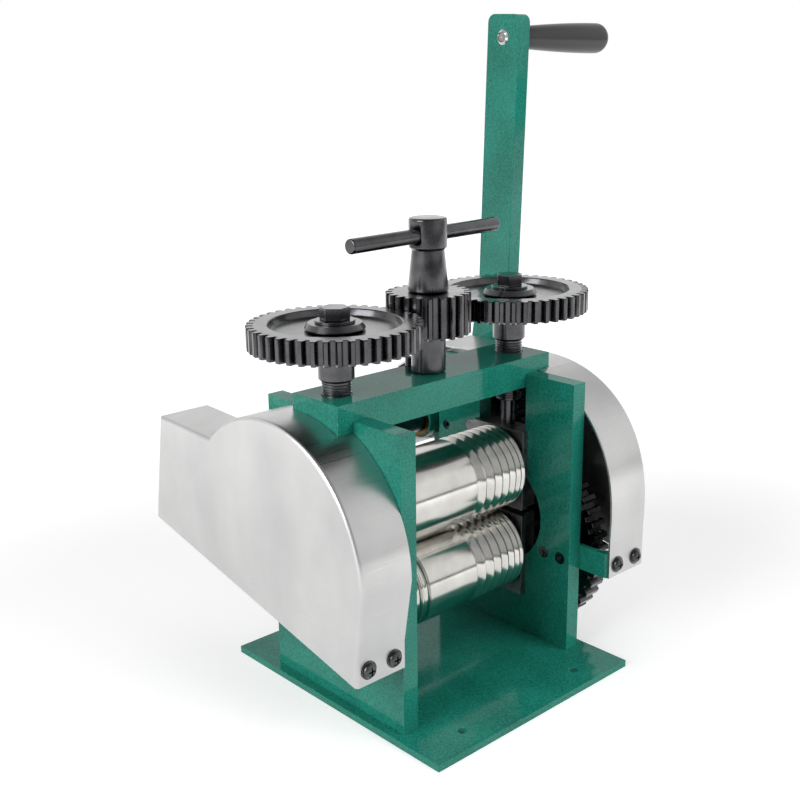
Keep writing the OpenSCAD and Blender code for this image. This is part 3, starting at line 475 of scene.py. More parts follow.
@dataclass(frozen=True)
class SatinSheet:
    """Rolled aluminium sheet with a satin brushed face.

    The brushing runs level along the sheet in lines a few tenths of a millimetre
    apart, which spreads highlights up and down into broad soft bands.
    """

    dark: str = "#BEBEBE"
    light: str = "#D0D0CF"
    line_mm: float = 0.45
    line_stretch: tuple[float, float, float] = (120.0, 120.0, 1.0)
    line_depth_mm: float = 0.0015
    cloud_mm: float = 45.0
    cloud_stretch: tuple[float, float, float] = (1.0, 1.0, 1.6)
    rough: tuple[float, float] = (0.27, 0.36)

    def build(self) -> bpy.types.Material:
        """Builds the material.

        Returns:
            The material.
        """
        material, tree, coords = new_material("satin_brushed_aluminium")
        lines = noise(tree, coords, self.line_mm, 3.0, self.line_stretch)
        cloud = noise(tree, coords, self.cloud_mm, 3.0, self.cloud_stretch)
        surface(
            tree,
            {"Metallic": 1.0},
            {
                "Base Color": tint(tree, ramp(tree, cloud, *MIDDLE), self.dark, self.light),
                "Roughness": ramp(tree, lines, *MIDDLE, *self.rough),
                "Normal": bump(tree, lines, self.line_depth_mm),
            },
        )
        return material


@dataclass(frozen=True)
class TurnedBronze:
    """Turned bearing bronze, dark brown.

    It gives the bearings a thin warm ring, hardly lighter than the steel round it.
    """

    dark: str = "#4E3D28"
    light: str = "#6B5334"
    cloud_mm: float = 5.0
    rough: tuple[float, float] = (0.28, 0.4)

    def build(self) -> bpy.types.Material:
        """Builds the material.

        Returns:
            The material.
        """
        material, tree, coords = new_material("turned_bearing_bronze")
        cloud = noise(tree, coords, self.cloud_mm, 4.0)
        surface(
            tree,
            {"Metallic": 1.0},
            {
                "Base Color": tint(tree, ramp(tree, cloud, *MIDDLE), self.dark, self.light),
                "Roughness": ramp(tree, cloud, *MIDDLE, *self.rough),
            },
        )
        return material


@dataclass(frozen=True)
class MouldedGrip:
    """Black moulded phenolic plastic with a worn semi gloss.

    A faint grain breaks its one long highlight, so it reads as plastic beside the steel.
    """

    dark: str = "#121314"
    light: str = "#1E1F21"
    grain_mm: float = 0.9
    grain_depth_mm: float = 0.01
    rough: tuple[float, float] = (0.28, 0.36)

    def build(self) -> bpy.types.Material:
        """Builds the material.

        Returns:
            The material.
        """
        material, tree, coords = new_material("moulded_black_phenolic")
        grain = noise(tree, coords, self.grain_mm, 3.0)
        surface(
            tree,
            {"IOR": 1.55, "Metallic": 0.0},
            {
                "Base Color": tint(tree, ramp(tree, grain, *MIDDLE), self.dark, self.light),
                "Roughness": ramp(tree, grain, *MIDDLE, *self.rough),
                "Normal": bump(tree, grain, self.grain_depth_mm),
            },
        )
        return material


@dataclass
class Finishes:
    """Every finish of the mill, built once and found by its slot."""

    materials: dict[Slot, bpy.types.Material] = field(default_factory=dict)

    def build(self) -> None:
        """Builds one material for each slot."""
        kinds = {
            Slot.PAINT: HammeredPaint(),
            Slot.BLACK: BlackOxide(),
            Slot.POLISHED: PolishedRoll(),
            Slot.GROUND: GroundSteel(),
            Slot.BRONZE: TurnedBronze(),
            Slot.SHEET: SatinSheet(),
            Slot.PLASTIC: MouldedGrip(),
        }
        self.materials = {slot: kind.build() for slot, kind in kinds.items()}


def object_from(name: str, build: bmesh.types.BMesh) -> bpy.types.Object:
    """Makes a linked object at the origin from a bmesh, and frees the bmesh.

    Args:
        name: The object's name.
        build: The mesh being built.

    Returns:
        The new object.
    """
    mesh = bpy.data.meshes.new(name)
    build.to_mesh(mesh)
    build.free()
    obj = bpy.data.objects.new(name, mesh)
    bpy.context.scene.collection.objects.link(obj)
    return obj


def smooth_by_angle(build: bmesh.types.BMesh, degrees: float) -> None:
    """Shades faces smooth and keeps edges sharp past an angle.

    Args:
        build: The mesh being built.
        degrees: Edges that turn further than this stay sharp.
    """
    limit = math.radians(degrees)
    for face in build.faces:
        face.smooth = True
    for edge in build.edges:
        edge.smooth = edge.calc_face_angle(0.0) < limit


def tidy(build: bmesh.types.BMesh, degrees: float = SHARP) -> None:
    """Merges doubles, points faces outwards and shades by angle.

    Args:
        build: The mesh being built.
        degrees: Edges that turn further than this stay sharp.
    """
    bmesh.ops.remove_doubles(build, verts=build.verts, dist=MERGE)
    bmesh.ops.recalc_face_normals(build, faces=build.faces)
    smooth_by_angle(build, degrees)


def lathe(profile: list[Point], steps: int) -> bmesh.types.BMesh:
    """Turns a profile round the Z axis.

    Args:
        profile: Radii and heights in metres; a radius of zero closes an end.
        steps: Number of segments round the axis.

    Returns:
        The turned mesh.
    """
    build = bmesh.new()
    rings: list[list[bmesh.types.BMVert]] = []
    for radius, height in profile:
        if radius <= 0:
            rings.append([build.verts.new((0, 0, height))])
            continue
        rings.append([
            build.verts.new((radius * math.cos(a), radius * math.sin(a), height))
            for a in (math.tau * i / steps for i in range(steps))
        ])
    pairs = list(zip(rings, rings[1:]))
    if len(rings[0]) > 1 and len(rings[-1]) > 1:
        pairs.append((rings[-1], rings[0]))
    for low, high in pairs:
        for i in range(steps):
            j = (i + 1) % steps
            turns = ((low, i), (low, j), (high, j), (high, i))
            unique = list(dict.fromkeys(ring[k % len(ring)] for ring, k in turns))
            if len(unique) > 2:
                build.faces.new(unique)
    return build


def turned(
    name: str, profile: list[Point], steps: int = 128, degrees: float = SHARP
) -> bpy.types.Object:
    """Makes an object whose shape is a profile turned round the Z axis.

    Args:
        name: The object's name.
        profile: Radii and heights in metres; a radius of zero closes an end.
        steps: Number of segments round the axis.
        degrees: Edges that turn further than this stay sharp.

    Returns:
        The object.
    """
    build = lathe(profile, steps)
    tidy(build, degrees)
    return object_from(name, build)


def drill(name: str, radius: float, reach: float, steps: int = 64) -> bpy.types.Object:
    """Makes a cutter for a round hole along the Z axis.

    Args:
        name: The cutter's name.
        radius: Radius of the hole.
        reach: How far it goes to each side of the origin.
        steps: Number of segments round the hole.

    Returns:
        The cutter.
    """
    return turned(name, [(0, -reach), (radius, -reach), (radius, reach), (0, reach)], steps)


def quarter(steps: int) -> list[float]:
    """Gives even angles over a quarter turn.

    Args:
        steps: Number of steps; one angle more comes back.

    Returns:
        Angles in radians, from zero to a right angle.
    """
    return [math.pi / 2 * i / steps for i in range(steps + 1)]


def add_cut(obj: bpy.types.Object, cutter: bpy.types.Object) -> bpy.types.Modifier:
    """Takes one object's shape out of another, once the modifiers are applied.

    Args:
        obj: The object that is cut.
        cutter: The object that cuts, which is removed later.

    Returns:
        The modifier.
    """
    cut = obj.modifiers.new("cut", "BOOLEAN")
    cut.object = cutter
    cut.solver = "EXACT"
    return cut


def add_edge(
    obj: bpy.types.Object, width: float, segments: int = 2, degrees: float = 35
) -> None:
    """Eases sharp edges and keeps the flats beside them flat in shading.

    Args:
        obj: The object.
        width: Width of the eased edge.
        segments: Number of segments across it.
        degrees: Edges that turn less than this stay as they are.
    """
    bevel = obj.modifiers.new("edge", "BEVEL")
    bevel.width = width
    bevel.segments = segments
    bevel.limit_method = "ANGLE"
    bevel.angle_limit = math.radians(degrees)
    bevel.harden_normals = False
    obj.modifiers.new("shade", "WEIGHTED_NORMAL").keep_sharp = True


def applied(obj: bpy.types.Object) -> bpy.types.Object:
    """Turns an object's modifiers into plain mesh.

    Args:
        obj: The object with live modifiers.

    Returns:
        The same object with its evaluated mesh and no modifiers.
    """
    graph = bpy.context.evaluated_depsgraph_get()
    mesh = bpy.data.meshes.new_from_object(obj.evaluated_get(graph))
    obj.modifiers.clear()
    obj.data = mesh
    return obj


def joined(name: str, parts: list[bpy.types.Object]) -> bpy.types.Object:
    """Joins objects at the origin into one.

    Args:
        name: The new object's name.
        parts: Objects to join, which are removed.

    Returns:
        The joined object.
    """
    build = bmesh.new()
    for part in parts:
        build.from_mesh(part.data)
        bpy.data.objects.remove(part)
    return object_from(name, build)


@dataclass
class Workshop:
    """Puts finished meshes on the frame's bodies.

    Attributes:
        nodes: The frame's nodes by name.
        finishes: The built materials.
        pieces: Names of the pieces made so far.
    """

    nodes: dict[str, bpy.types.Object]
    finishes: Finishes
    pieces: list[str] = field(default_factory=list)

    def finish(self, slot: Slot) -> bpy.types.Material:
        """Gives a slot's material.

        Args:
            slot: The slot.

        Returns:
            The material.
        """
        return self.finishes.materials[slot]

    def mount(
        self,
        obj: bpy.types.Object,
        slot: Slot,
        replaced: list[str],
        body: str | None = None,
    ) -> bpy.types.Object:
        """Gives a piece its material and its body, and hides the nodes that it replaces.

        Args:
            obj: The finished object.
            slot: Its material slot.
            replaced: The nodes that it replaces.
            body: Its body, when it isn't the body of the first replaced node.

        Returns:
            The mounted object.
        """
        obj.data.materials.clear()
        obj.data.materials.append(self.finish(slot))
        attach(obj, body or self.nodes[replaced[0]]["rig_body"])
        if replaced:
            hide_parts(*replaced)
        self.pieces.append(obj.name)
        LOG.info("%s on %s, %d faces", obj.name, slot.value, len(obj.data.polygons))
        return obj

    def paint_node(self, node: str, slot: Slot) -> None:
        """Gives a node that keeps its own mesh a better material.

        Args:
            node: The node's name.
            slot: Its material slot.
        """
        for mesh_slot in self.nodes[node].material_slots:
            mesh_slot.material = self.finish(slot)

    def eased_copy(self, node: str, slot: Slot, edge_mm: float) -> bpy.types.Object:
        """Replaces a node by a copy whose edges are eased, as a file or paint does.

        Args:
            node: The node's name.
            slot: Its material slot.
            edge_mm: Width of the eased edge.

        Returns:
            The mounted copy.
        """
        build = bmesh.new()
        build.from_mesh(self.nodes[node].data)
        bmesh.ops.remove_doubles(build, verts=build.verts, dist=MERGE)
        bmesh.ops.dissolve_limit(
            build, angle_limit=math.radians(FLAT), verts=build.verts, edges=build.edges
        )
        smooth_by_angle(build, SHARP)
        obj = object_from(f"{node}_eased", build)
        add_edge(obj, edge_mm * MM)
        applied(obj)
        for face in obj.data.polygons:
            face.use_smooth = True
        return self.mount(obj, slot, [node])


class NodeTools:
    """Geometry node trees that make what repeats."""

    # Steps in one turn of a thread, and sides of its ridge.
    TURN_STEPS = 48
    RIDGE_SIDES = 4

    @staticmethod
    def start(name: str, inputs: dict[str, str]) -> tuple[bpy.types.NodeTree, bpy.types.Node]:
        """Starts a tree with a geometry input, named inputs and a material input.

        Args:
            name: The tree's name.
            inputs: Socket types by input name.

        Returns:
            The tree and its input node.
        """
        tree = bpy.data.node_groups.new(name, "GeometryNodeTree")
        face = tree.interface
        face.new_socket("Geometry", in_out="INPUT", socket_type="NodeSocketGeometry")
        for label, kind in inputs.items():
            face.new_socket(label, in_out="INPUT", socket_type=kind)
        face.new_socket("Finish", in_out="INPUT", socket_type="NodeSocketMaterial")
        face.new_socket("Geometry", in_out="OUTPUT", socket_type="NodeSocketGeometry")
        return tree, tree.nodes.new("NodeGroupInput")

    @staticmethod
    def close(
        tree: bpy.types.NodeTree, source: bpy.types.Node, geometry: bpy.types.NodeSocket
    ) -> bpy.types.NodeTree:
        """Ends a tree in Realize Instances and Set Material.

        Args:
            tree: The tree.
            source: Its input node, which gives the finish.
            geometry: The geometry to end with.

        Returns:
            The finished tree.
        """
        real = add_node(tree, "GeometryNodeRealizeInstances", None, {"Geometry": geometry})
        dressed = add_node(
            tree,
            "GeometryNodeSetMaterial",
            None,
            {"Geometry": real.outputs[0], "Material": source.outputs["Finish"]},
        )
        out = tree.nodes.new("NodeGroupOutput")
        tree.links.new(dressed.outputs[0], out.inputs[0])
        return tree

    @classmethod
    def ring_of_copies(cls) -> bpy.types.NodeTree:
        """Builds a tree that repeats a mesh round the Z axis.

        Returns:
            The tree, with inputs Count and Phase.
        """
        tree, source = cls.start(
            "ring_of_copies", {"Count": "NodeSocketInt", "Phase": "NodeSocketFloat"}
        )
        points = add_node(tree, "GeometryNodePoints", None, {"Count": source.outputs["Count"]})
        index = tree.nodes.new("GeometryNodeInputIndex")
        share = add_node(tree, "ShaderNodeMath", {"operation": "DIVIDE"})
        tree.links.new(index.outputs[0], share.inputs[0])
        tree.links.new(source.outputs["Count"], share.inputs[1])
        turn = add_node(tree, "ShaderNodeMath", {"operation": "MULTIPLY_ADD"})
        tree.links.new(share.outputs[0], turn.inputs[0])
        turn.inputs[1].default_value = math.tau
        tree.links.new(source.outputs["Phase"], turn.inputs[2])
        rotation = add_node(tree, "ShaderNodeCombineXYZ", None, {"Z": turn.outputs[0]})
        placed = add_node(
            tree,
            "GeometryNodeInstanceOnPoints",
            None,
            {
                "Points": points.outputs[0],
                "Instance": source.outputs["Geometry"],
                "Rotation": rotation.outputs[0],
            },
        )
        return cls.close(tree, source, placed.outputs[0])

    @classmethod
    def row_of_copies(cls) -> bpy.types.NodeTree:
        """Builds a tree that repeats a mesh along a line.

        Returns:
            The tree, with inputs Count, Start and Step.
        """
        tree, source = cls.start(
            "row_of_copies",
            {"Count": "NodeSocketInt", "Start": "NodeSocketVector", "Step": "NodeSocketVector"},
        )
        line = add_node(
            tree,
            "GeometryNodeMeshLine",
            {"mode": "OFFSET"},
            {
                "Count": source.outputs["Count"],
                "Start Location": source.outputs["Start"],
                "Offset": source.outputs["Step"],
            },
        )
        placed = add_node(
            tree,
            "GeometryNodeInstanceOnPoints",
            None,
            {"Points": line.outputs[0], "Instance": source.outputs["Geometry"]},
        )
        return cls.close(tree, source, placed.outputs[0])

    @classmethod
    def thread(cls) -> bpy.types.NodeTree:
        """Builds a tree that sweeps a ridge along a rising helix.

        Returns:
            The tree, with inputs Turns, Radius, Rise and Ridge.
        """
        tree, source = cls.start(
            "thread_ridge", dict.fromkeys(("Turns", "Radius", "Rise", "Ridge"), "NodeSocketFloat")
        )
        helix = add_node(
            tree,
            "GeometryNodeCurveSpiral",
            {"Resolution": cls.TURN_STEPS},
            {
                "Rotations": source.outputs["Turns"],
                "Start Radius": source.outputs["Radius"],
                "End Radius": source.outputs["Radius"],
                "Height": source.outputs["Rise"],
            },
        )
        ridge = add_node(
            tree,
            "GeometryNodeCurvePrimitiveCircle",
            {"Resolution": cls.RIDGE_SIDES},
            {"Radius": source.outputs["Ridge"]},
        )
        swept = add_node(
            tree,
            "GeometryNodeCurveToMesh",
            {"Fill Caps": True},
            {"Curve": helix.outputs[0], "Profile Curve": ridge.outputs[0]},
        )
        return cls.close(tree, source, swept.outputs[0])

    @staticmethod
    def run(
        obj: bpy.types.Object, tree: bpy.types.NodeTree, values: dict[str, object]
    ) -> bpy.types.Object:
        """Runs a tree on an object and keeps the result as plain mesh.

        Args:
            obj: The object whose mesh goes in.
            tree: The tree.
            values: Input values by name.

        Returns:
            The object with the tree's result.
        """
        modifier = obj.modifiers.new(tree.name, "NODES")
        modifier.node_group = tree
        for item in tree.interface.items_tree:
            if item.in_out == "INPUT" and item.name in values:
                modifier[item.identifier] = values[item.name]
        return applied(obj)


@dataclass(frozen=True)
class SpurGear:
    """Sizes of a spur gear's teeth.

    Attributes:
        module: Pitch diameter per tooth.
        teeth: Number of teeth.
        width: Face width.
        addendum_share: Height of a tooth above the pitch line, in modules.
        backlash: Play between the teeth at the pitch circle.
        pressure: Pressure angle of the flanks.
        chamfer: Bevel at both ends of a tooth.
        flank_steps: Number of steps up a flank.
        sharp: Edges that turn further than this many degrees stay sharp.
    """

    module: float
    teeth: int
    width: float
    addendum_share: float = 0.75
    backlash: float = 0.15 * MM
    pressure: float = math.radians(20)
    chamfer: float = 0.45 * MM
    flank_steps: int = 6
    sharp: float = 28.0

    @property
    def pitch_r(self) -> float:
        """Radius of the pitch circle."""
        return self.module * self.teeth / 2

    @property
    def root_r(self) -> float:
        """Radius at the foot of the teeth."""
        return self.pitch_r - self.module

    @property
    def tip_r(self) -> float:
        """Radius at the tips of the teeth."""
        return self.pitch_r + self.module * self.addendum_share

    def half_angle(self, radius: float) -> float:
        """Gives the angle from a tooth's middle to its flank.

        Args:
            radius: Where on the flank.

        Returns:
            The angle in radians.
        """
        base = self.pitch_r * math.cos(self.pressure)
        turn = math.acos(min(1.0, base / max(radius, base)))
        return (
            math.pi / 2 / self.teeth
            - self.backlash / 2 / self.pitch_r
            + math.tan(self.pressure) - self.pressure
            - (math.tan(turn) - turn)
        )

    def tooth(self, sink: float) -> bpy.types.Object:
        """Builds one tooth that points along X, with chamfered ends.

        Args:
            sink: How far its foot goes into the rim.

        Returns:
            The tooth's object.
        """
        build = bmesh.new()
        span = self.tip_r - self.root_r
        radii = [self.root_r + span * i / self.flank_steps for i in range(self.flank_steps + 1)]
        right = [(r, -self.half_angle(r)) for r in radii]
        foot = (self.root_r - sink, -self.half_angle(self.root_r))
        half = [foot, *right]
        outline = half + [(r, -a) for r, a in reversed(half)]
        levels = (
            (0.0, self.chamfer), (self.chamfer, 0.0),
            (self.width - self.chamfer, 0.0), (self.width, self.chamfer),
        )
        rings = []
        for height, cut in levels:
            top = self.tip_r - cut
            rings.append([
                build.verts.new((min(r, top) * math.cos(a), min(r, top) * math.sin(a), height))
                for r, a in outline
            ])
        count = len(outline)
        for low, high in zip(rings, rings[1:]):
            for i in range(count):
                j = (i + 1) % count
                build.faces.new((low[i], low[j], high[j], high[i]))
        build.faces.new(rings[0])
        build.faces.new(rings[-1])
        tidy(build, self.sharp)
        return object_from("tooth", build)


@dataclass
class Drive:
    """Gears behind the guards and on top of the beam.

    Attributes:
        shop: Where finished pieces go.
        rings: The tree that repeats a tooth.
        sink: How far a tooth's foot goes into the rim.
        ease_share: Width of a rim's eased edge, as a share of that depth.
        rim_steps: Number of segments round a rim.
        rim_sharp: Edges that turn further than this many degrees stay sharp.
    """

    shop: Workshop
    rings: bpy.types.NodeTree
    sink: float = 0.25 * MM
    ease_share: float = 1.4
    rim_steps: int = 176
    rim_sharp: float = 30.0

    def rim_edge(self, sizes: SpurGear) -> list[Point]:
        """Gives a rim's outer side with eased edges that stay clear of the teeth's feet.

        Args:
            sizes: The gear's teeth.

        Returns:
            Radii and heights from the near face to the far face.
        """
        soft = self.sink * self.ease_share
        root, width = sizes.root_r, sizes.width
        return [(root - soft, 0), (root, soft), (root, width - soft), (root - soft, width)]

    def gear(
        self,
        node: str,
        sizes: SpurGear,
        centre: Vector,
        axis: Axis,
        phase: float,
        rim: list[Point],
    ) -> bpy.types.Object:
        """Builds a gear from a turned rim and a ring of teeth.

        Args:
            node: The node that it replaces.
            sizes: The teeth.
            centre: The middle of the gear's near face.
            axis: The way its width runs.
            phase: Turn of the first tooth, in radians.
            rim: Profile of the body inside the teeth, as radii and heights.

        Returns:
            The mounted gear.
        """
        teeth = NodeTools.run(
            sizes.tooth(self.sink),
            self.rings,
            {"Count": sizes.teeth, "Phase": phase, "Finish": self.shop.finish(Slot.BLACK)},
        )
        body = turned("rim", rim, self.rim_steps, self.rim_sharp)
        obj = joined(f"{node}_cut", [body, teeth])
        obj.data.transform(axis.matrix(centre))
        build = bmesh.new()
        build.from_mesh(obj.data)
        if axis is Axis.LEFT:
            bmesh.ops.reverse_faces(build, faces=build.faces)
        build.to_mesh(obj.data)
        build.free()
        return self.shop.mount(obj, Slot.BLACK, [node])


@dataclass
class RollSetting(Drive):
    """Pressure screws, setting gears, centre pinion, post and T-handle."""

    threads: bpy.types.NodeTree | None = None
    screw_x: float = 66 * MM
    beam_top: float = 178.4 * MM
    gear_low: float = 204 * MM
    gear_width: float = 12.6 * MM
    dish_r: float = 34 * MM
    dish_depth: float = 4 * MM
    collar_r: float = 15.7 * MM
    collar_waist: float = 14 * MM
    collar_drop: float = 2.8 * MM
    neck_r: float = 6 * MM
    core_r: float = 7.4 * MM
    ridge: float = 0.55 * MM
    pitch: float = 1.5 * MM
    thread_low: float = 150 * MM
    sleeve_low: float = 185.8 * MM
    sleeve_r: float = 9.5 * MM
    tip_r: float = 4.5 * MM
    hook_r: float = 3.2 * MM
    hook_low: float = 128.4 * MM
    hook_high: float = 131.6 * MM
    groove_r: float = 4.2 * MM
    groove_low: float = 229 * MM
    groove_high: float = 234 * MM
    bore: float = 6.05 * MM
    play: float = 0.3 * MM
    bar_turn: float = math.radians(3.3)
    bar_length: float = 114.4 * MM
    bar_round: float = 1.0 * MM
    bar_hole: float = 4.05 * MM
    head_r: float = 10.4 * MM
    waist_r: float = 8.9 * MM
    waist_drop: float = 17.3 * MM
    waist_rise: float = 1.5 * MM
    hub_round: float = 1.4 * MM
    round_steps: int = 5
    edge: float = 0.5 * MM
    screw_steps: int = 96
    bar_steps: int = 64
    module: float = 2 * MM
    gear_teeth: int = 44
    pinion_teeth: int = 22

    def build(self) -> None:
        """Builds every piece of the roll setting."""
        sizes = SpurGear(self.module, self.gear_teeth, self.gear_width)
        half_tooth = 180 / self.gear_teeth
        for side, node, phase in (
            (-1, "left_screw_gear", half_tooth), (1, "right_screw_gear", 180 + half_tooth)
        ):
            centre = Vector((side * self.screw_x, 0, self.gear_low))
            self.gear(node, sizes, centre, Axis.UP, math.radians(phase), self.dished_rim(sizes))
        low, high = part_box("centre_pinion")
        pinion = SpurGear(self.module, self.pinion_teeth, high.z - low.z)
        rim = [(self.bore, 0), *self.rim_edge(pinion), (self.bore, pinion.width)]
        self.gear("centre_pinion", pinion, Vector((0, 0, low.z)), Axis.UP, 0.0, rim)
        for side, node in ((-1, "left_pressure_screw"), (1, "right_pressure_screw")):
            self.pressure_screw(node, side)
        post = turned("centre_post_turned", self.post_profile())
        self.shop.mount(post, Slot.BLACK, ["centre_post"])
        self.handle()
        self.cross_bar()

    def dished_rim(self, sizes: SpurGear) -> list[Point]:
        """Gives the profile of a setting gear's body.

        Args:
            sizes: The gear's teeth.

        Returns:
            Radii and heights, closed round the bore.
        """
        top, dish_r, soft = self.gear_width, self.dish_r, self.edge
        floor = top - self.dish_depth
        return [
            (self.neck_r, 0), *self.rim_edge(sizes),
            (dish_r + 2 * soft, top), (dish_r + soft, top - soft),
            (dish_r, floor + 2 * soft), (dish_r - soft, floor + soft / 2),
            (dish_r - 3 * soft, floor), (self.collar_waist, floor),
            (self.collar_r, top - self.collar_drop - soft / 2),
            (self.collar_r, top - self.collar_drop + soft / 2),
            (self.collar_waist, top), (self.neck_r, top),
        ]

    def pressure_screw(self, node: str, side: int) -> None:
        """Builds a screw with a real helical thread.

        Args:
            node: The node that it replaces.
            side: -1 on the left, 1 on the right.
        """
        low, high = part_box(node)
        soft, tip_r, hook_r, core_r, sleeve_r = (
            self.edge, self.tip_r, self.hook_r, self.core_r, self.sleeve_r
        )
        profile = [
            (0, low.z), (tip_r - soft, low.z), (tip_r, low.z + soft), (tip_r, self.hook_low),
            (hook_r, self.hook_low), (hook_r, self.hook_high), (tip_r, self.hook_high),
            (tip_r, self.thread_low - soft), (core_r - soft, self.thread_low - soft),
            (core_r, self.thread_low), (core_r, self.sleeve_low),
            (sleeve_r - 3 * soft, self.sleeve_low), (sleeve_r, self.sleeve_low + 3 * soft),
            (sleeve_r, self.gear_low), (self.neck_r, self.gear_low), (self.neck_r, high.z),
            (0, high.z),
        ]
        core = turned("screw_core", profile, self.screw_steps)
        rise = self.sleeve_low - self.thread_low - self.pitch
        ridge = NodeTools.run(
            object_from("ridge_seed", bmesh.new()),
            self.threads,
            {
                "Turns": rise / self.pitch, "Radius": core_r, "Rise": rise, "Ridge": self.ridge,
                "Finish": self.shop.finish(Slot.BLACK),
            },
        )
        ridge.data.transform(Matrix.Translation((0, 0, self.thread_low + self.pitch / 2)))
        obj = joined(f"{node}_threaded", [core, ridge])
        obj.data.transform(Matrix.Translation((side * self.screw_x, 0, 0)))
        self.shop.mount(obj, Slot.BLACK, [node])

    def post_profile(self) -> list[Point]:
        """Gives the centre post's profile, with a filed foot and a plain spindle.

        Returns:
            Radii and heights.
        """
        low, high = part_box("centre_post")
        post_r, neck_r, soft, foot = high.x, self.neck_r, self.edge, self.beam_top
        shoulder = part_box("centre_pinion")[0].z - self.play
        return [
            (0, low.z), (neck_r, low.z), (neck_r, foot), (post_r - 2 * soft, foot),
            (post_r, foot + 2 * soft), (post_r, shoulder - soft), (post_r - soft, shoulder),
            (neck_r, shoulder), (neck_r, self.groove_low), (self.groove_r, self.groove_low),
            (self.groove_r, self.groove_high), (neck_r, self.groove_high),
            (neck_r, high.z - soft), (neck_r - soft, high.z), (0, high.z),
        ]

    def across(self, centre: Vector) -> Matrix:
        """Gives the matrix that lays a shape from Z along the cross bar.

        Args:
            centre: Where the shape's own origin goes.

        Returns:
            The matrix.
        """
        level = Matrix.Rotation(math.pi / 2, 4, "Y")
        return Matrix.Translation(centre) @ Matrix.Rotation(self.bar_turn, 4, "Z") @ level

    def handle(self) -> None:
        """Builds the T-handle's hub: a cone, a waist and a rounded head with a bored side."""
        low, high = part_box("t_handle_hub")
        cone, head, soft = high.x, self.head_r, self.hub_round
        waist_z = high.z - self.waist_drop
        arc = quarter(self.round_steps)
        top = [
            (head - soft + soft * math.cos(a), high.z - soft + soft * math.sin(a)) for a in arc
        ]
        foot = [
            (cone - soft + soft * math.sin(a), low.z + soft - soft * math.cos(a)) for a in arc
        ]
        bore_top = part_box("centre_post")[1].z + self.play
        obj = turned("t_handle_hub_turned", [
            (0, bore_top), (self.bore, bore_top), (self.bore, low.z), *foot,
            (self.waist_r, waist_z), (head, waist_z + self.waist_rise), *top, (0, high.z),
        ])
        cutter = drill("bar_drill", self.bar_hole, 2 * head)
        bar_low, bar_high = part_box("t_bar")
        cutter.data.transform(self.across(Vector((0, 0, (bar_low.z + bar_high.z) / 2))))
        add_cut(obj, cutter)
        applied(obj)
        bpy.data.objects.remove(cutter)
        self.shop.mount(obj, Slot.BLACK, ["t_handle_hub"])

    def cross_bar(self) -> None:
        """Builds the sliding cross bar with rounded ends."""
        low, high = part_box("t_bar")
        radius, half, soft = (high.z - low.z) / 2, self.bar_length / 2, self.bar_round
        end = [
            (radius - soft + soft * math.cos(a), half - soft + soft * math.sin(a))
            for a in quarter(self.round_steps)
        ]
        start = [(r, -h) for r, h in reversed(end)]
        profile = [(0, -half), *start, *end, (0, half)]
        obj = turned("t_bar_turned", profile, self.bar_steps)
        obj.data.transform(self.across((low + high) / 2))
        self.shop.mount(obj, Slot.BLACK, ["t_bar"])


